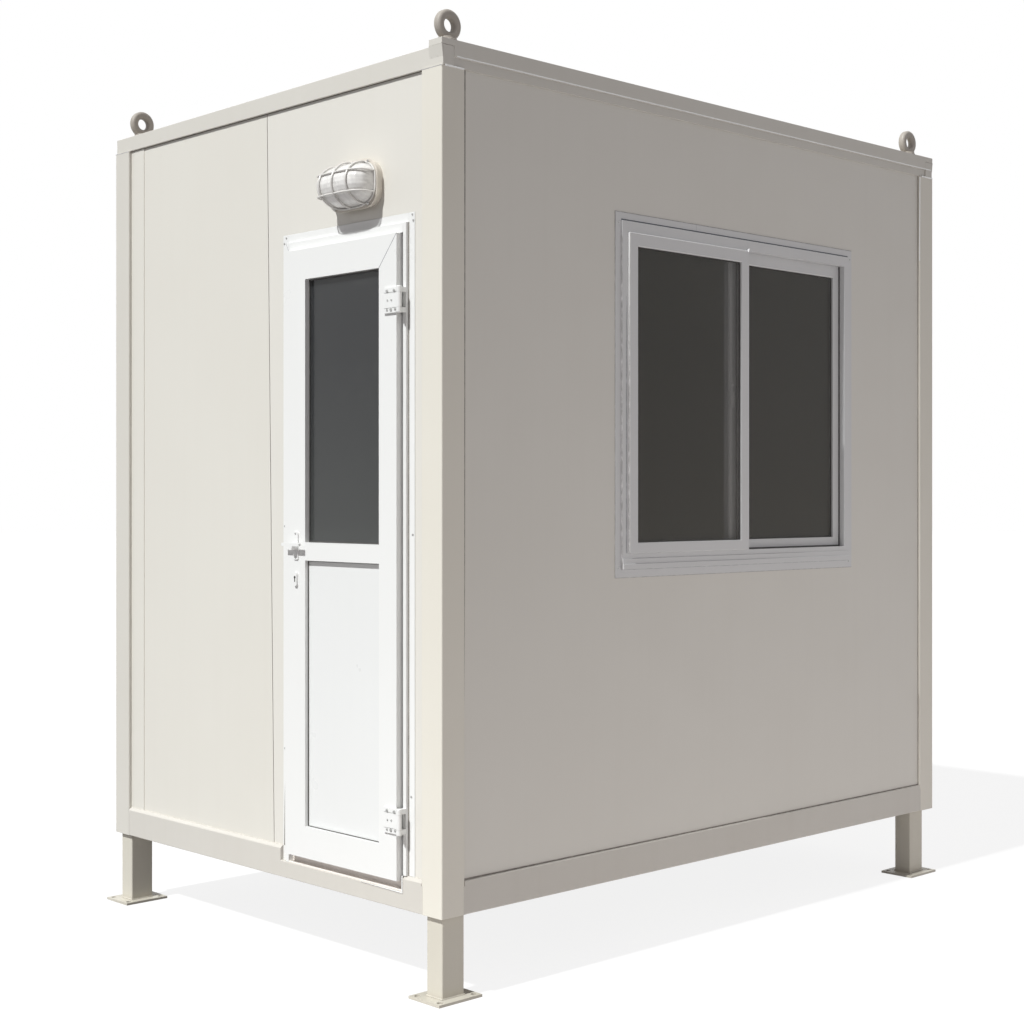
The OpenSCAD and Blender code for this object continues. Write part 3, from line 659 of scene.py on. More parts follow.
@dataclass
class Studio:
    """Camera at the photograph's place, soft light and a pale floor."""

    eye_mm: Point = (4580.2, -4501.9, 1464.8)
    yaw_deg: float = 46.307
    lens_mm: float = 59.73
    shift_y: float = -0.01433
    key_strength: float = 3.70
    key_color: Color = (0.98, 1.0, 0.99)
    key_height_deg: float = 50.0
    key_turn_deg: float = 0.0
    key_angle_deg: float = 2.0
    sky_strength: float = 0.30
    sky_color: Color = (1.0, 0.965, 0.99)
    floor_near: Color = (0.750, 0.708, 0.690)
    floor_far: Color = (0.13, 0.127, 0.13)
    floor_middles: tuple[Point, ...] = ((3.4, -0.1, 0.0), (-3.9, 1.7, 0.0), (0.0, 4.2, 0.0))
    floor_fade: Pair = (2.2, 4.8)
    floor_reach: float = 60.0
    floor_drop: float = 0.5 * MM
    floor_glow: float = 0.86
    floor_shade: float = 0.17

    def build(self) -> None:
        """Sets the view, the camera, the lights and the floor."""
        scene = bpy.context.scene
        scene.view_settings.view_transform = "Standard"
        self._camera(scene)
        self._key(scene)
        self._sky(scene)
        self._floor(scene)
        log.info("studio set")

    def _camera(self, scene: bpy.types.Scene) -> None:
        """Places the camera."""
        data = bpy.data.cameras.new("camera")
        data.lens = self.lens_mm
        data.sensor_width = 36.0
        data.shift_y = self.shift_y
        data.clip_end = 200.0
        thing = bpy.data.objects.new("camera", data)
        thing.location = [v * MM for v in self.eye_mm]
        thing.rotation_euler = (math.pi / 2, 0.0, math.radians(self.yaw_deg))
        scene.collection.objects.link(thing)
        scene.camera = thing

    def _key(self, scene: bpy.types.Scene) -> None:
        """Adds the key light, high in front of the door face."""
        data = bpy.data.lights.new("key", "SUN")
        data.energy = self.key_strength
        data.angle = math.radians(self.key_angle_deg)
        data.color = self.key_color
        height, turn = math.radians(self.key_height_deg), math.radians(self.key_turn_deg)
        towards = Vector((math.sin(turn) * math.cos(height), -math.cos(turn) * math.cos(height), math.sin(height)))
        thing = bpy.data.objects.new("key", data)
        thing.rotation_mode = "QUATERNION"
        thing.rotation_quaternion = towards.to_track_quat("Z", "Y")
        scene.collection.objects.link(thing)

    def _sky(self, scene: bpy.types.Scene) -> None:
        """Makes the world: soft light on the booth, white where it is seen."""
        world = bpy.data.worlds.new("sky")
        world.use_nodes = True
        scene.world = world
        tree = world.node_tree
        back = tree.nodes["Background"]
        seen = self._seen(tree)
        tint = tree.nodes.new("ShaderNodeMix")
        tint.data_type = "RGBA"
        tint.inputs[6].default_value = (*self.sky_color, 1.0)
        tint.inputs[7].default_value = (1.0, 1.0, 1.0, 1.0)
        tree.links.new(seen, tint.inputs[0])
        tree.links.new(tint.outputs[2], back.inputs["Color"])
        level = tree.nodes.new("ShaderNodeMapRange")
        level.inputs["To Min"].default_value = self.sky_strength
        level.inputs["To Max"].default_value = 1.0
        tree.links.new(seen, level.inputs["Value"])
        tree.links.new(level.outputs["Result"], back.inputs["Strength"])

    @staticmethod
    def _seen(tree: bpy.types.NodeTree) -> Socket:
        """Returns 1 for rays that come from the camera, a mirror or glass, and 0 for the rest."""
        path = tree.nodes.new("ShaderNodeLightPath")
        total = path.outputs["Is Camera Ray"]
        for name in ("Is Glossy Ray", "Is Transmission Ray"):
            node = tree.nodes.new("ShaderNodeMath")
            node.operation = "MAXIMUM"
            tree.links.new(total, node.inputs[0])
            tree.links.new(path.outputs[name], node.inputs[1])
            total = node.outputs[0]
        return total

    def _floor(self, scene: bpy.types.Scene) -> None:
        """Lays the floor: pale beside and behind the booth, with its shadow, and white where it is seen."""
        mesh = bpy.data.meshes.new("floor")
        reach = self.floor_reach
        corners = [(x * reach, y * reach, -self.floor_drop) for x, y in ((-1, -1), (1, -1), (1, 1), (-1, 1))]
        mesh.from_pydata(corners, [], [(0, 1, 2, 3)])
        thing = bpy.data.objects.new("floor", mesh)
        scene.collection.objects.link(thing)
        floor = Shader("floor_pale")
        tree = floor.tree
        away: Optional[Socket] = None
        for middle in self.floor_middles:
            node = floor.add("VectorMath")
            node.operation = "DISTANCE"
            floor.fill(node.inputs[0], floor.place)
            node.inputs[1].default_value = middle
            away = node.outputs["Value"] if away is None else floor.math("MINIMUM", away, node.outputs["Value"])
        share = floor.spread(away, *self.floor_fade)
        bounce = floor.add("BsdfDiffuse", Color=floor.mix(share, self.floor_near, self.floor_far))
        shade = floor.add("BsdfDiffuse", Color=(self.floor_shade,) * 3)
        glow = floor.add("Emission", Color=(1.0, 1.0, 1.0), Strength=self.floor_glow)
        white = tree.nodes.new("ShaderNodeAddShader")
        tree.links.new(shade.outputs[0], white.inputs[0])
        tree.links.new(glow.outputs[0], white.inputs[1])
        blend = tree.nodes.new("ShaderNodeMixShader")
        tree.links.new(self._seen(tree), blend.inputs[0])
        tree.links.new(bounce.outputs[0], blend.inputs[1])
        tree.links.new(white.outputs[0], blend.inputs[2])
        tree.links.new(blend.outputs[0], tree.nodes["Material Output"].inputs["Surface"])
        tree.nodes.remove(floor.bsdf)
        mesh.materials.append(floor.material)


@dataclass
class Shell:
    """Steel frame, walls, roof, floor and lifting eyes."""

    finishes: Finishes
    rail_bevel: float = 2.0 * MM
    weld_r: float = 3.0 * MM
    leg_half: Pair = (34.0 * MM, 43.0 * MM)
    plate_top: float = 9.0 * MM
    weld_sunk: float = 2.0 * MM
    weld_ends: Pair = (14.0 * MM, 3.0 * MM)
    post_weld: tuple[Pair, ...] = ((0.5, 4.0), (1.6, 330.0))
    eye_points: int = 28
    sealant_w: float = 4.0 * MM
    sealant_t: float = 0.8 * MM
    post_shade_w: float = 9.0 * MM
    post_shade_bend: float = 900.0 * MM
    post_shade_shares: Point = (0.2, 0.9, 1.15)
    head_shade_line: float = 1.5 * MM
    joint_h: float = 2.6 * MM
    joint_t: float = 0.3 * MM
    lip_h: float = 50.0 * MM
    lip_ends: Pair = (60.0 * MM, 10.0 * MM)
    lip_section: tuple[Pair, ...] = ((0.0, 0.0), (0.0, 4.0), (0.8, 2.5), (0.8, 0.5))
    gusset_h: float = 36.0 * MM
    filler_w: float = 5.0 * MM
    filler_t: float = 0.4 * MM
    filler_drop: float = 16.0 * MM
    corners: tuple[str, ...] = ("front_left", "front_right", "back_left", "back_right")

    def build(self) -> None:
        """Dresses the shell, joins the front panels that read as one sheet, and adds welds and sealant, with strips
        of painted shade in the joints and whitened beads as painted highlights.
        """
        cream = self.finishes.rail
        dress([f"leg_{corner}" for corner in self.corners], self.finishes.leg)
        dress(["post_front_right", "post_back_right"], self.finishes.post)
        dress(["post_front_left", "post_back_left"], cream)
        dress(["base_rail_back", "base_rail_left", "base_rail_right"], self.finishes.base)
        dress(["base_rail_front"], self.finishes.base, self.rail_bevel)
        dress(["roof_rail_left"], cream)
        dress(["roof_rail_front", "roof_rail_back", "roof_rail_right"], cream, self.rail_bevel)
        dress([f"eye_{corner}" for corner in self.corners], self.finishes.eye)
        dress(["floor_deck"], self.finishes.deck)
        dress(["roof_panel"], self.finishes.roof)
        dress(["left_wall", "back_wall", "right_wall"], self.finishes.wall)
        dress(["front_wall_left"], self.finishes.panel)
        self._front_sheet()
        self._leg_welds()
        self._post_welds()
        self._gussets()
        self._front_joints()
        self._rail_lip()
        self._fillers()
        self._eye_welds()
        self._sealant()

    def _front_sheet(self) -> None:
        """Makes one sheet of the panels around the door, with the leaning edge of the open seam."""
        names = ("front_wall_middle", "front_wall_over_door", "front_wall_right")
        (x0, y0, z0), (x1, y1, z1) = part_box(names[0])
        (_, _, head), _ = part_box(names[1])
        (x2, _, _), (x3, _, _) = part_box(names[2])
        foot = min(v.co.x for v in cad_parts[names[0]].data.vertices if abs(v.co.z - z0) < MM)
        outline = [(foot, y0, z0), (x1, y0, z0), (x1, y0, head), (x2, y0, head), (x2, y0, z0), (x3, y0, z0),
                   (x3, y0, z1), (x0, y0, z1)]
        sheet = Piece("front_sheet").prism(outline, (0.0, y1 - y0, 0.0))
        sheet.ride(Body.BOOTH, self.finishes.wall, Slot.WALL, replaces=names)

    def _leg_welds(self) -> None:
        """Runs weld beads around the head and the foot of each leg."""
        welds = Piece("leg_welds")
        for corner in self.corners:
            (x0, y0, _), (x1, y1, z1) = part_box(f"leg_{corner}")
            xm, ym = (x0 + x1) / 2, (y0 + y1) / 2
            hx, hy = self.leg_half
            for z in (self.plate_top, z1 - MM):
                path = [(xm + sx * hx, ym + sy * hy, z) for sx, sy in ((-1, -1), (1, -1), (1, 1), (-1, 1))]
                welds.bead(path, self.weld_r, closed=True)
        welds.ride(Body.BOOTH, self.finishes.leg, Slot.FRAME)

    def _post_welds(self) -> None:
        """Runs proud weld beads where the right posts meet the raised rail, and down the far post's edge, in the
        door's white as a painted highlight.
        """
        welds = Piece("post_welds")
        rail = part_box("roof_rail_right")[1][0] - self.weld_sunk
        near, far = self.weld_ends
        for end in ("front", "back"):
            (_, y0, _), (_, y1, top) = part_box(f"post_{end}_right")
            welds.bead([(rail, y0 + near, top), (rail, y1 - far, top)], 1.3 * self.weld_r)
        (_, y0, _), (x1, _, top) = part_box("post_back_right")
        welds.bead([(x1 - dx * MM, y0, top - dz * MM) for dx, dz in self.post_weld], 0.8 * self.weld_r)
        # Painted highlight: white paint makes the beads read as bright lines on the cream frame.
        welds.ride(Body.BOOTH, self.finishes.door, Slot.DOOR)

    def _gussets(self) -> None:
        """Tapers the raised rail's ends into the cross rails with filler wedges."""
        (x0, y0, _), (x1, y1, _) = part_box("roof_rail_right")
        front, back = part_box("roof_rail_front"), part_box("roof_rail_back")
        wedges = Piece("rail_gussets")
        for y, face, top in ((y0, front[0][1], front[1][2]), (y1, back[1][1], back[1][2])):
            wedges.prism([(x0, y, top), (x0, face, top), (x0, face, top - self.gusset_h)], (x1 - x0, 0.0, 0.0))
        wedges.ride(Body.BOOTH, self.finishes.rail, Slot.FRAME)

    def _front_joints(self) -> None:
        """Draws the grey joints where the posts meet the cross rail on the door face."""
        joints = Piece("post_joints")
        for side in ("left", "right"):
            (x0, y, _), (x1, _, top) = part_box(f"post_front_{side}")
            joints.box((x0, y, top - self.joint_h), (x1, y - self.joint_t, top))
        joints.ride(Body.BOOTH, self.finishes.sealant)

    def _rail_lip(self) -> None:
        """Lays a pale bead along the lower edge of the raised rail's lip, white as a painted highlight on that edge.
        """
        (_, y0, _), (x1, y1, z1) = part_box("roof_rail_right")
        start, end = y0 + self.lip_ends[0], y1 - self.lip_ends[1]
        section = [(x1 + dx * MM, start, z1 - self.lip_h + dz * MM) for dx, dz in self.lip_section]
        bead = Piece("rail_lip_highlight").prism(section, (0.0, end - start, 0.0))
        # Painted highlight: the door's white makes the bead read as a bright line.
        bead.ride(Body.BOOTH, self.finishes.door, Slot.DOOR)

    def _fillers(self) -> None:
        """Smooths filler over the joints between the posts and the bottom rails, on the door face and both sides."""
        fill = Piece("joint_filler")
        w, t = self.filler_w, self.filler_t
        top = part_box("right_wall")[0][2] - self.filler_drop
        for corner in self.corners:
            (x0, y0, foot), (x1, y1, _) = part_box(f"post_{corner}")
            front, left = corner.startswith("front"), corner.endswith("left")
            low = foot + MM
            face, out = (x0, x0 - t) if left else (x1, x1 + t)
            y = y1 if front else y0
            fill.box((face, y - w, low), (out, y + w, top))
            if front:
                x = x1 if left else x0
                fill.box((x - w, y0, low), (x + w, y0 - t, top))
        fill.ride(Body.BOOTH, self.finishes.base, Slot.FRAME)

    def _eye_welds(self) -> None:
        """Runs a weld bead around the collar of each lifting eye."""
        welds = Piece("eye_welds")
        for corner in self.corners:
            (x0, y0, z0), (x1, y1, _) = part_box(f"eye_{corner}")
            xm, ym, r = (x0 + x1) / 2, (y0 + y1) / 2, (x1 - x0) / 2
            turns = (2 * math.pi * k / self.eye_points for k in range(self.eye_points))
            path = [(xm + r * math.cos(a), ym + r * math.sin(a), z0 + MM) for a in turns]
            welds.tube(path, self.weld_r, 6, True, 0.18)
        welds.ride(Body.BOOTH, self.finishes.eye, Slot.EYE)

    def _sealant(self) -> None:
        """Lays tan sealant around the window wall's foot and sides, painted dark as the shade in those joints, and a
        dark strip of painted shadow under the top rail over the front panels.
        """
        (_, y0, z0), (x1, y1, z1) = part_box("right_wall")
        w, t, near = self.sealant_w, self.sealant_t, self.post_shade_w
        foot = z0 + w
        # Painted shade: tan strips in the open joints around the window wall, widest near the top of the near post.
        strip = Piece("wall_joint_shade").box((x1, y0, z0), (x1 + t, y1, foot))
        widths = zip((foot, z0 + self.post_shade_bend, z1), self.post_shade_shares)
        strip.prism([(x1, y0, foot), *((x1, y0 + share * near, z) for z, share in widths), (x1, y0, z1)],
                    (t, 0.0, 0.0))
        strip.box((x1, y1 - 0.5 * w, foot), (x1 + t, y1, z1))
        strip.ride(Body.BOOTH, self.finishes.joint_shade)
        (left, face, _), (_, _, top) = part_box("front_wall_left")
        (_, wall, _), (right, _, _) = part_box("front_wall_right")
        # Painted shadow: a dark strip where the top rail's shadow falls on the front panels.
        gap = Piece("head_shade_line").box((left, wall, top - self.head_shade_line), (right, face - t, top))
        gap.ride(Body.BOOTH, self.finishes.gap)


@dataclass
class Doorway:
    """Door frame, leaf, hinges and handle."""

    finishes: Finishes
    edge: float = 1.2 * MM
    line_w: float = 0.5 * MM
    line_t: float = 0.15 * MM
    mitre_w: float = 0.9 * MM
    gasket_w: float = 4.5 * MM
    panel_gasket_w: float = 2.4 * MM
    gasket_t: float = 3.0 * MM
    flange_w: float = 28.0 * MM
    flange_t: float = 2.0 * MM
    side_seal: Pair = (3.5 * MM, 0.6 * MM)
    lip_inset: float = 14.0 * MM
    lip_section: tuple[Pair, ...] = ((0.0, 0.0), (0.0, -4.0), (2.0, -5.0), (5.0, 0.0))
    tick_h: float = 25.0 * MM
    flange_screw_r: float = 3.6 * MM
    hinge_h: float = 75.0 * MM
    wing_t: float = 6.0 * MM
    hinge_screws: tuple[Point, ...] = ((17.0, 65.5, 5.2), (50.0, 65.5, 5.2), (17.0, 9.5, 4.0), (35.0, 9.5, 5.2),
                                       (54.0, 9.5, 4.0), (19.0, 38.0, 3.4), (37.0, 38.0, 3.4))
    pin_in: float = 8.0 * MM
    cap: tuple[Pair, ...] = ((7.6, 0.0), (7.296, 1.2), (5.32, 2.6), (2.28, 3.2), (0.0, 3.3))
    key_up: float = 28.0 * MM
    key_r: float = 4.6 * MM
    key_foot: Pair = (2.6 * MM, 14.0 * MM)
    key_t: float = 0.3 * MM
    plate_t: float = 3.0 * MM
    plate_screws: Pair = (6.0 * MM, 81.0 * MM)
    plate_screw_r: float = 3.4 * MM
    split: tuple[Pair, ...] = ((5.0, 0.0), (10.0, 0.0), (11.5, 70.0), (10.5, 150.0), (12.0, 215.0),
                               (10.0, 215.0), (7.0, 120.0), (6.5, 60.0))
    split_t: float = 0.4 * MM
    left_screws: tuple[Pair, ...] = ((17.0, -9.0), (7.0, -26.0), (9.0, -935.0), (10.0, -1650.0))
    right_screws: tuple[Pair, ...] = ((-10.0, -7.0), (-6.0, -25.0), (-8.0, -953.0), (-15.0, -1727.0))
    bead_l: float = 196.0 * MM
    bead_w: float = 4.0 * MM

    def build(self) -> None:
        """Dresses the door and its frame, and adds seals, strips of painted shade, joint lines, screws and the
        keyhole.
        """
        white = self.finishes.door
        dress(["door_jamb_left", "door_jamb_right", "door_head"], white, self.edge)
        # Painted light: the sill's finish lifts and warms the leaf's shadow on it.
        dress(["door_threshold"], self.finishes.sill, self.edge)
        dress(["door_stop_left", "door_stop_right", "door_stop_head"], white, self.edge)
        dress(["door_panel"], self.finishes.infill, self.edge)
        dress(["handle_lever"], white, self.edge)
        dress(["door_leaf", "hinge_frame_halves", "hinge_leaf_halves", "handle_plates"], white)
        dress(["door_glass"], self.finishes.door_pane)
        self._seals()
        self._leaf_mitre()
        self._frame_seals()
        self._flange_screws()
        self._hinge_screws()
        self._pin_caps()
        self._keyhole()
        self._paint_split_shade()
        self._sill_bead()

    def _seals(self) -> None:
        """Presses dark seals around the pane and the lower panel."""
        seals = Piece("leaf_seals")
        for node, width in (("door_glass", self.gasket_w), ("door_panel", self.panel_gasket_w)):
            (x0, y, z0), (x1, _, z1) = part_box(node)
            outer = [(x0, y, z0), (x1, y, z0), (x1, y, z1), (x0, y, z1)]
            inner = [(x0 + width, y, z0 + width), (x1 - width, y, z0 + width), (x1 - width, y, z1 - width),
                     (x0 + width, y, z1 - width)]
            seals.ring(outer, inner, (0.0, -self.gasket_t, 0.0))
        seals.ride(Body.DOOR, self.finishes.rubber, bevel=0.6 * MM)

    def _leaf_mitre(self) -> None:
        """Draws the open mitre at the leaf's upper corner on the hinge side."""
        (_, y, _), (x1, _, z1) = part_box("door_leaf")
        _, (a1, _, b1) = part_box("door_glass")
        w = self.mitre_w
        line = Piece("leaf_mitre").line((a1, y, b1), (x1, y, z1), (w, 0.0, -w), (0.0, -self.line_t, 0.0))
        line.ride(Body.DOOR, self.finishes.joint)

    def _frame_seals(self) -> None:
        """Lays a dark seal beside the hinge-side bar, dark as painted shade on the bar's side, and hangs a white lip
        from the head, over the leaf's top gap.
        """
        (x0, bar_y, low), (x1, _, _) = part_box("door_head")
        (_, _, foot), (_, _, top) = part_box("door_jamb_right")
        face = self._flange_face()
        width, thick = self.side_seal
        # Painted shade: a dark strip standing for the bar's shaded side and its seal.
        seal = Piece("hinge_side_shade_seal").box((x1, face, foot), (x1 + width, face - thick, top - self.flange_w))
        seal.ride(Body.BOOTH, self.finishes.gap)
        start, end = x0 + self.lip_inset, x1 - self.lip_inset
        section = [(start, bar_y + dy * MM, low + dz * MM) for dy, dz in self.lip_section]
        lip = Piece("head_lip").prism(section, (end - start, 0.0, 0.0))
        lip.ride(Body.BOOTH, self.finishes.door, Slot.DOOR)
        tick = Piece("frame_joint").line((x0, bar_y, low + self.tick_h), (start, bar_y, low),
                                         (self.line_w, 0.0, self.line_w), (0.0, -self.line_t, 0.0))
        tick.ride(Body.BOOTH, self.finishes.joint)

    def _flange_face(self) -> float:
        """Returns the y of the frame flanges' front."""
        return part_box("front_wall_over_door")[0][1] - self.flange_t

    def _flange_screws(self) -> None:
        """Sets screws in the flanges of the door frame."""
        (x0, _, _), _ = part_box("door_jamb_left")
        _, (x1, _, z1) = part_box("door_jamb_right")
        face = self._flange_face()
        screws = Piece("flange_screws")
        for x, places in ((x0, self.left_screws), (x1, self.right_screws)):
            for dx, dz in places:
                screws.screw((x + dx * MM, face, z1 + dz * MM), (0.0, -1.0, 0.0), self.flange_screw_r)
        screws.ride(Body.BOOTH, self.finishes.metal, Slot.METAL)

    def _hinge_screws(self) -> None:
        """Sets rows of screws in the raised segments of the hinge wings."""
        (x0, _, z0), (_, _, z1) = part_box("hinge_leaf_halves")
        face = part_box("door_leaf")[0][1] - self.wing_t
        screws = Piece("hinge_screws")
        for foot in (z0, z1 - self.hinge_h):
            for dx, dz, r in self.hinge_screws:
                screws.screw((x0 + dx * MM, face, foot + dz * MM), (0.0, -1.0, 0.0), r * MM)
        screws.ride(Body.DOOR, self.finishes.metal, Slot.METAL)

    def _pin_caps(self) -> None:
        """Caps the hinge pins with low domes."""
        (_, y0, z0), (x1, _, z1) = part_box("hinge_leaf_halves")
        x, y = x1 - self.pin_in, y0 + self.pin_in
        profile = [(r * MM, h * MM) for r, h in self.cap]
        caps = Piece("pin_caps")
        for foot in (z0, z1 - self.hinge_h):
            caps.lathe(profile, (x, y, foot + self.hinge_h), (0.0, 0.0, 1.0), 20)
            caps.lathe(profile, (x, y, foot), (0.0, 0.0, -1.0), 20)
        caps.ride(Body.BOOTH, self.finishes.door, Slot.DOOR)

    def _keyhole(self) -> None:
        """Sets a dark keyhole on the lock, and screws the handle plate on."""
        (x0, y0, z0), (x1, _, z1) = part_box("handle_plates")
        xm, zm, r = (x0 + x1) / 2, z0 + self.key_up, self.key_r
        half, drop = self.key_foot
        turns = (math.radians(d) for d in range(-60, 241, 20))
        outline = [(xm + r * math.cos(a), y0, zm + r * math.sin(a)) for a in turns]
        outline += [(xm - half, y0, zm - drop), (xm + half, y0, zm - drop)]
        hole = Piece("keyhole").prism(outline, (0.0, -self.key_t, 0.0))
        hole.ride(Body.DOOR, self.finishes.rubber)
        screws = Piece("plate_screws")
        for down in self.plate_screws:
            screws.screw((xm, y0 + self.plate_t, z1 - down), (0.0, -1.0, 0.0), self.plate_screw_r)
        screws.ride(Body.DOOR, self.finishes.metal, Slot.METAL)

    def _paint_split_shade(self) -> None:
        """Paints the shade in the split that opens along the foot of the left flange."""
        (x0, _, _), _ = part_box("door_jamb_left")
        face = self._flange_face()
        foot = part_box("front_wall_right")[0][2]
        outline = [(x0 + dx * MM, face, foot + dz * MM) for dx, dz in self.split]
        # Painted shade: a flat dark wedge where the split's shade falls.
        gap = Piece("flange_split_shade").prism(outline, (0.0, -self.split_t, 0.0))
        gap.ride(Body.BOOTH, self.finishes.gap)

    def _sill_bead(self) -> None:
        """Lays a white bead down the right end of the rail's cut and along the sill, thinning to the left."""
        (_, face, _), (_, _, top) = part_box("base_rail_front")
        (_, _, low), (x1, _, _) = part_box("door_threshold")
        w, start = self.bead_w, x1 - self.bead_l
        corner = x1 + 0.6 * w
        outline = [(start, face, low), (start, face, low - 0.2 * w), (corner, face, low - w), (corner, face, top),
                   (corner - w, face, top), (corner - w, face, low)]
        bead = Piece("sill_bead").prism(outline, (0.0, -0.6 * w, 0.0))
        bead.ride(Body.BOOTH, self.finishes.door, Slot.DOOR, bevel=0.5 * MM)


@dataclass
class SlidingWindow:
    """Window frame, two sashes and their panes."""

    finishes: Finishes
    edge: float = 1.0 * MM
    sash_edge: float = 2.4 * MM
    seal_w: float = 4.0 * MM
    seal_t: float = 2.5 * MM
    brush_w: float = 5.0 * MM
    bead_w: float = 3.5 * MM
    bead_t: float = 1.0 * MM
    strip_w: float = 7.0 * MM
    lip_proud: float = 0.3 * MM
    lip_front: float = 0.6 * MM
    lip_w: float = 3.0 * MM
    lip_end: float = 2.0 * MM
    head_strip: tuple[Pair, ...] = ((-1.0, 0.0), (0.8, -2.0), (0.8, -3.5), (-1.0, -5.0))
    bright_w: float = 7.3 * MM
    bright_share: float = 0.60
    side_seal_t: float = 0.8 * MM
    sash_shade_t: float = 0.3 * MM
    sash_shade_outline: tuple[Pair, ...] = ((9.5, 0.20), (10.5, 0.20), (12.0, 0.36), (12.4, 1.0), (7.6, 1.0), (8.0, 0.36))
    bar_top: float = 30.0 * MM
    interlock: tuple[Point, ...] = ((4.0, 18.0, 3.0), (44.0, 50.0, 4.0), (56.0, 76.0, 2.5))
    interlock_end: float = 6.0 * MM
    groove: Pair = (5.0 * MM, 0.5 * MM)
    flange_w: float = 26.0 * MM
    flange_t: float = 3.0 * MM
    joint_w: float = 2.0 * MM
    joint_t: float = 0.2 * MM
    line_w: float = 0.5 * MM
    line_t: float = 0.15 * MM
    sealant_w: float = 2.0 * MM
    sealant_t: float = 0.8 * MM
    screw_r: float = 3.4 * MM
    screws: tuple[Pair, ...] = ((-300.0, 1250.0), (745.0, 1229.0), (-507.0, 1240.0), (-507.0, 2345.0),
                                (753.0, 2345.0))
    clip: tuple[Pair, ...] = ((-7.0, -6.0), (6.0, -6.0), (8.0, 5.0), (-4.0, 7.0))
    clip_depth: Pair = (5.0 * MM, 9.0 * MM)
    catch: tuple[Pair, ...] = ((3.0, -1.0), (13.0, -1.0), (15.0, 19.0), (21.0, 23.0), (21.0, 35.0),
                               (13.0, 33.0), (9.0, 45.0), (4.0, 39.0))
    catch_t: float = 5.0 * MM
    knob_r: float = 6.0 * MM
    knob: tuple[Pair, ...] = ((0.8, 0.0), (1.0, 0.2), (0.9, 0.5), (0.4, 0.62), (0.0, 0.64))
    joint_at: float = -123.3 * MM
    clip_at: float = 143.6 * MM

    def build(self) -> None:
        """Dresses the window, and adds seals, strips, lines of painted shade, joints, screws, the clip and the catch.
        """
        dress(["window_frame", "window_inner_sash"], self.finishes.window, self.edge)
        dress(["window_outer_sash"], self.finishes.window, self.sash_edge, 3)
        dress(["window_outer_glass", "window_inner_glass"], self.finishes.pane)
        dress(["window_latch"], self.finishes.door, self.edge)
        self._pane_seals()
        self._sash_beads()
        self._sash_lips()
        self._side_strips()
        self._interlock()
        self._track_seals()
        self._flange_lines()
        self._fixings()
        self._catch()

    @staticmethod
    def _rect(x: float, low: Sequence[float], high: Sequence[float], inset: float) -> list[Point]:
        """Returns the corners of a rectangle across y and z at one x, drawn in by an inset."""
        return [(x, low[1] + inset, low[2] + inset), (x, high[1] - inset, low[2] + inset),
                (x, high[1] - inset, high[2] - inset), (x, low[1] + inset, high[2] - inset)]

    def _pane_seals(self) -> None:
        """Presses dark seals around both panes."""
        seals = Piece("pane_seals")
        for node in ("window_outer_glass", "window_inner_glass"):
            low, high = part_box(node)
            seals.ring(self._rect(high[0], low, high, 0.0), self._rect(high[0], low, high, self.seal_w),
                       (self.seal_t, 0.0, 0.0))
        seals.ride(Body.BOOTH, self.finishes.rubber, bevel=0.5 * MM)

    def _sash_beads(self) -> None:
        """Runs a light bead under the head of each sash."""
        beads = Piece("sash_beads")
        w, t = self.bead_w, self.bead_t
        for kind in ("outer", "inner"):
            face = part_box(f"window_{kind}_sash")[1][0]
            (_, y0, _), (_, y1, z1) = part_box(f"window_{kind}_glass")
            beads.prism([(face, y0, z1), (face, y0, z1 + w), (face + t, y0, z1 + w), (face + t, y0, z1 + 0.4 * w)],
                        (0.0, y1 - y0, 0.0))
        beads.ride(Body.BOOTH, self.finishes.door, Slot.DOOR)

    def _sash_lips(self) -> None:
        """Adds the white lip up the outer sash's free side and the strip along its head."""
        (_, side, z0), (face, far, z1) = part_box("window_outer_sash")
        back, front, y, end = face - self.strip_w, face + self.lip_proud, side - self.lip_front, side + self.lip_w
        low, high = z0 + self.lip_end, z1 - self.lip_end
        section = [(back, y, low), (front, y, low), (front, end - MM, low), (face, end, low), (back, end, low)]
        lips = Piece("sash_lips").prism(section, (0.0, 0.0, high - low))
        lips.ride(Body.BOOTH, self.finishes.door, Slot.DOOR)
        section = [(face + dx * MM, end, z1 + dz * MM) for dx, dz in self.head_strip]
        strip = Piece("sash_head_strip").prism(section, (0.0, far - end, 0.0))
        strip.ride(Body.BOOTH, self.finishes.window, Slot.WINDOW)

    def _side_strips(self) -> None:
        """Lays grey seals up the outer sash's free side as painted shade over its sunlit face, thinning towards its
        head, and up the side bar's sunlit step, and draws a painted shadow line on the bar beside the sash.
        """
        (_, side, z0), (face, _, z1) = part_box("window_outer_sash")
        bar, out = face - self.strip_w, face + self.lip_proud + 0.1 * MM
        y, height, push = side - self.lip_front, z1 - z0, (0.0, -self.side_seal_t, 0.0)
        low, high = z0 + self.lip_end, z1 - self.lip_end
        # Painted shade: grey strips dim the sunlit sides, leaving a bright top part.
        strips = Piece("side_shade_strips")
        strips.prism([(bar + self.bright_w, y, high), (out, y, high), (out, y, low), (bar, y, low),
                      (bar, y, z1 - self.bright_share * height)], push)
        # Painted shadow: a dark line on the bar beside the sash, widening downwards.
        outline = [(bar, side - dy * MM, z1 - share * height) for dy, share in self.sash_shade_outline]
        gap = Piece("sash_shade_line").prism(outline, (self.sash_shade_t, 0.0, 0.0))
        gap.ride(Body.BOOTH, self.finishes.joint)
        (_, y, low), (_, _, high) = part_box("window_frame")
        y, low, high = y + self.flange_w, low + self.flange_w, high - self.flange_w
        flange, bar = self._flange_face(), bar + 0.05 * MM
        strips.prism([(flange, y, low), (bar, y, low), (bar, y, high - 2 * self.bar_top),
                      (flange, y, high - self.bar_top)], push)
        strips.ride(Body.BOOTH, self.finishes.sealant)

    def _flange_face(self) -> float:
        """Returns the x of the frame flanges' front."""
        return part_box("right_wall")[1][0] + self.flange_t

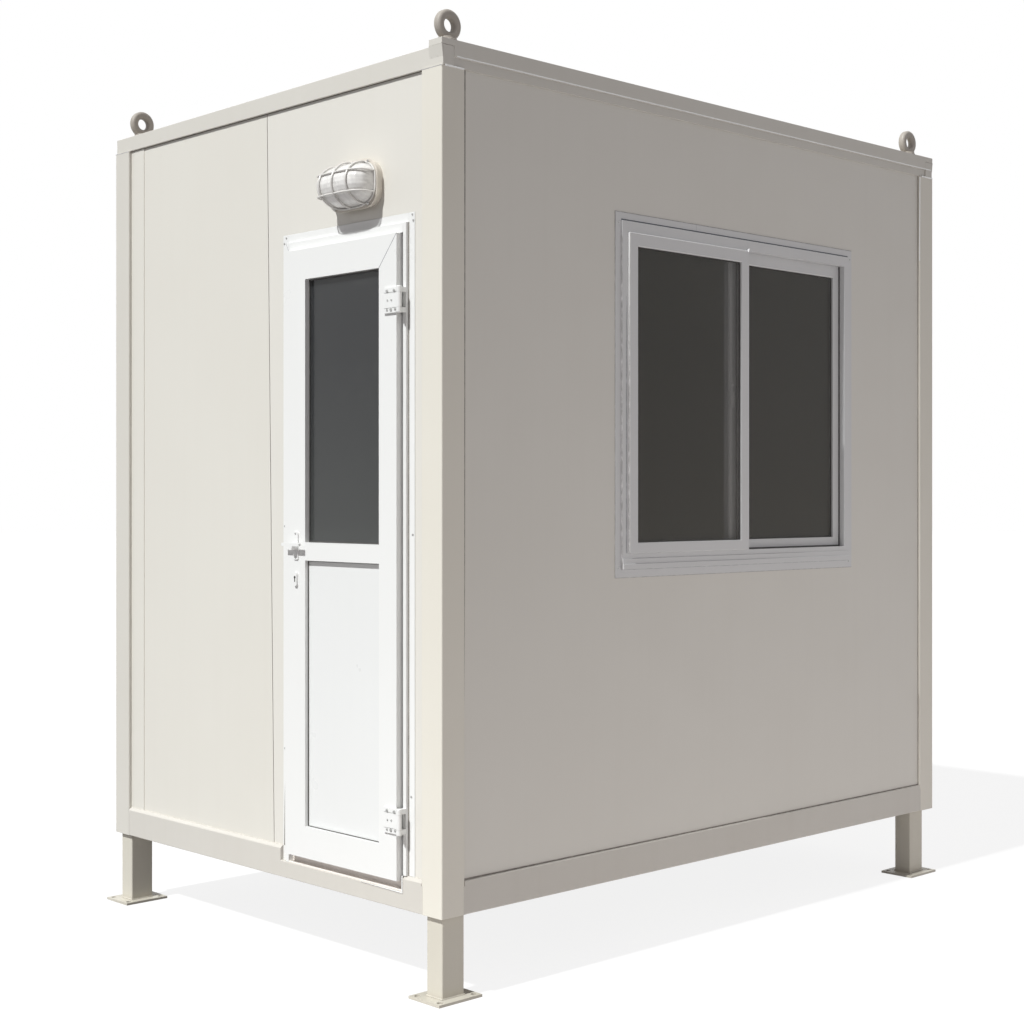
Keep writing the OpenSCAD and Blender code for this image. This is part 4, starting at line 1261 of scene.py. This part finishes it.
    def _interlock(self) -> None:
        """Adds the interlock strips that the inner sash carries behind the meeting stile."""
        (_, y0, z0), (face, _, z1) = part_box("window_inner_sash")
        low, high = z0 + self.interlock_end, z1 - self.interlock_end
        strips = Piece("interlock")
        for a, b, t in self.interlock:
            strips.box((face, y0 + a * MM, low), (face + t * MM, y0 + b * MM, high))
        strips.ride(Body.BOOTH, self.finishes.door, Slot.DOOR, bevel=0.8 * MM)

    def _track_seals(self) -> None:
        """Lays dark brush seals along the inner sash, where it meets the tracks, dark also as painted shade in the
        gaps there.
        """
        (_, _, z0), (face, y1, z1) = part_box("window_inner_sash")
        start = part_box("window_outer_sash")[1][1]
        w, front = self.brush_w, face + self.seal_t
        # Painted shade: the dark strips also stand for the shadow in the gap around the inner sash.
        seals = Piece("track_brush_shade").box((face, start, z0), (front, y1, z0 + w))
        seals.box((face, y1 - w, z0 + w), (front, y1, z1))
        seals.ride(Body.BOOTH, self.finishes.rubber)

    def _flange_lines(self) -> None:
        """Draws the joint inside the flanges and in the head, the sealant around them and the head's groove, dark and
        bluish as painted shade in that corner.
        """
        low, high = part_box("window_frame")
        face = self._flange_face()
        wall, top = face - self.flange_t, high[2]
        edge = self._rect(face, low, high, self.flange_w)
        lines = Piece("window_joints")
        lines.ring(self._rect(face, low, high, self.flange_w - self.joint_w), edge, (self.joint_t, 0.0, 0.0))
        lines.line((face, self.joint_at, top - self.flange_w), (face, self.joint_at, top),
                   (0.0, self.line_w, 0.0), (self.line_t, 0.0, 0.0))
        lines.ride(Body.BOOTH, self.finishes.joint)
        seal = Piece("window_sealant").ring(self._rect(wall, low, high, -self.sealant_w),
                                            self._rect(wall, low, high, 0.0), (self.sealant_t, 0.0, 0.0))
        seal.ride(Body.BOOTH, self.finishes.sealant)
        # Painted shade: a dark bluish groove line in the corner between flange and bar.
        width, depth = self.groove
        (x, y1, z), (_, y0, _) = edge[2], edge[3]
        groove = Piece("head_corner_shade").box((x, y0, z), (x + depth, y1, z + width))
        groove.ride(Body.BOOTH, self.finishes.groove)

    def _fixings(self) -> None:
        """Sets the frame's screws and the clip on the head track."""
        screws = Piece("window_screws")
        for y, z in self.screws:
            screws.screw((self._flange_face(), y * MM, z * MM), (1.0, 0.0, 0.0), self.screw_r)
        screws.ride(Body.BOOTH, self.finishes.metal, Slot.METAL)
        _, (face, _, head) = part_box("window_outer_sash")
        sunk, depth = self.clip_depth
        outline = [(face - sunk, self.clip_at + dy * MM, head + dz * MM) for dy, dz in self.clip]
        clip = Piece("track_clip").prism(outline, (depth, 0.0, 0.0))
        clip.ride(Body.BOOTH, self.finishes.window, Slot.WINDOW, bevel=1.2 * MM)

    def _catch(self) -> None:
        """Adds the latch's white catch above its body, with a knob and two screws."""
        (x0, y0, z0), (x1, y1, z1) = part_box("window_latch")
        outline = [(x0, y0 + dy * MM, z1 + dz * MM) for dy, dz in self.catch]
        catch = Piece("latch_catch").prism(outline, (self.catch_t, 0.0, 0.0))
        ym, r = (y0 + y1) / 2, self.knob_r
        profile = [(share * r, height * r) for share, height in self.knob]
        catch.lathe(profile, (x0 + self.catch_t, ym, z1 + 4 * r), (1.0, 0.0, 0.0), 20)
        for z in (z0 + 1.5 * r, z1 - 1.5 * r):
            catch.screw((x1, ym, z), (1.0, 0.0, 0.0), 0.7 * r)
        catch.ride(Body.BOOTH, self.finishes.door, Slot.DOOR)


@dataclass
class BulkheadLamp:
    """Caged lamp over the door: housing, ribbed dome and wire guard."""

    finishes: Finishes
    wire_r: float = 3.0 * MM
    inset: float = 6.0 * MM
    dome_gap: float = 3.2 * MM
    dome_front_gap: float = 0.5 * MM
    rim_power: float = 2.9
    long_power: float = 4.0
    cross_power: float = 2.0
    long_at: float = 32.0 * MM
    cross_at: float = 65.0 * MM
    rib_pitch: float = 13.0 * MM
    rib_depth: float = 0.5 * MM
    dome_turns: tuple[float, ...] = (*(80.0 * i / 18 for i in range(19)), 82.5, 85.0, 87.0, 88.5, 89.5)
    screw_at: Pair = (0.72, 0.93)
    screw_r: float = 4.0 * MM
    steps: int = 40
    origin: Vector = field(init=False)
    reach: Point = field(init=False)

    def __post_init__(self) -> None:
        """Finds the middle of the housing's front, and the guard's half width, half height and depth."""
        (x0, y0, z0), (x1, _, z1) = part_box("lamp_base")
        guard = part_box("lamp_guard")[0][1]
        self.origin = Vector(((x0 + x1) / 2, y0, (z0 + z1) / 2))
        self.reach = ((x1 - x0) / 2 - self.inset, (z1 - z0) / 2 - self.inset, y0 - guard - 2 * self.wire_r)

    def build(self) -> None:
        """Dresses the housing and makes the guard and the dome."""
        dress(["lamp_base"], self.finishes.lamp, 1.5 * MM)
        self._guard()
        self._dome()
        self._bolts()

    @staticmethod
    def _bulge(share: float, power: float) -> float:
        """Returns the share of a bulging shape's size that is left at a share of its reach."""
        return max(0.0, 1.0 - abs(share) ** power) ** (1.0 / power)

    def _point(self, across: float, out: float, up: float) -> Point:
        """Returns a point on the lamp from its place across, outward and up from the housing's front."""
        return (self.origin.x + across, self.origin.y - out, self.origin.z + up)

    def _hoop(self, reach: float, depth: float, power: float, full: bool = False) -> list[Pair]:
        """Returns a bulging hoop.

        Args:
            reach: Its half width.
            depth: Its height, or half height where it is closed.
            power: How square it is.
            full: Whether it runs all the way round.

        Returns:
            Pairs of a place across and a depth.
        """
        count = 2 * self.steps if full else self.steps
        turns = [(2 if full else 1) * math.pi * i / count for i in range(count if full else count + 1)]
        return [(reach * math.copysign(abs(math.cos(t)) ** (2 / power), math.cos(t)),
                 depth * math.copysign(abs(math.sin(t)) ** (2 / power), math.sin(t))) for t in turns]

    def _guard(self) -> None:
        """Bends the guard's wires: a rim, two hoops along it and three across it."""
        w, h, d = self.reach
        seat = self.wire_r
        guard = Piece("guard_wires")
        rim = self._hoop(w, h, self.rim_power, True)
        guard.tube([self._point(a, seat, b) for a, b in rim], self.wire_r, 10, True)
        share = self.long_at / h
        long_w, long_d = w * self._bulge(share, self.rim_power), d * self._bulge(share, self.cross_power)
        for up in (-self.long_at, self.long_at):
            guard.tube([self._point(a, seat + b, up) for a, b in self._hoop(long_w, long_d, self.long_power)],
                       self.wire_r, 10)
        for across in (-self.cross_at, 0.0, self.cross_at):
            share = across / w
            high, deep = h * self._bulge(share, self.rim_power), d * self._bulge(share, self.long_power)
            guard.tube([self._point(across, seat + b, a) for a, b in self._hoop(high, deep, self.cross_power)],
                       self.wire_r, 10)
        guard.ride(Body.BOOTH, self.finishes.wire, Slot.LAMP, replaces=["lamp_guard"])

    def _dome(self) -> None:
        """Presses the ribbed dome in rings that shrink towards its front."""
        w, h, d = self.reach
        w, h, d = w - self.dome_gap, h - self.dome_gap, d - self.dome_front_gap
        dome = Piece("ribbed_dome")
        rings: list[list[bmesh.types.BMVert]] = []
        for turn in self.dome_turns:
            share = math.sin(math.radians(turn))
            size_x, size_z = w * self._bulge(share, self.long_power), h * self._bulge(share, self.cross_power)
            ring = []
            for a, b in self._hoop(size_x, size_z, self.rim_power, True):
                rib = self.rib_depth * (math.cos(2 * math.pi * a / self.rib_pitch) - 1.0) * share
                ring.append(dome.bm.verts.new(self._point(a, share * d + rib, b)))
            rings.append(ring)
        faces = []
        for low, high in zip(rings, rings[1:]):
            for k in range(len(low)):
                j = (k + 1) % len(low)
                faces.append(dome.bm.faces.new((low[k], low[j], high[j], high[k])))
        faces += [dome.bm.faces.new(rings[0]), dome.bm.faces.new(rings[-1])]
        bmesh.ops.recalc_face_normals(dome.bm, faces=faces)
        dome.ride(Body.BOOTH, self.finishes.lamp_glass, Slot.LAMP_GLASS, replaces=["lamp_glass"])

    def _bolts(self) -> None:
        """Screws the guard's rim to the housing."""
        w, h, _ = self.reach
        bolts = Piece("guard_screws")
        for a, b in ((-1, 1), (1, 1), (-1, -1), (1, -1)):
            place = self._point(a * self.screw_at[0] * w, 2 * self.wire_r - MM, b * self.screw_at[1] * h)
            bolts.screw(place, (0.0, -1.0, 0.0), self.screw_r)
        bolts.ride(Body.BOOTH, self.finishes.metal, Slot.METAL)


def main() -> None:
    """Builds the booth's looks and the studio."""
    logging.basicConfig(level=logging.INFO, format="%(message)s")
    finishes = Finishes()
    for part in (Shell(finishes), Doorway(finishes), SlidingWindow(finishes), BulkheadLamp(finishes), Studio()):
        part.build()


if __name__ == "__main__":
    main()
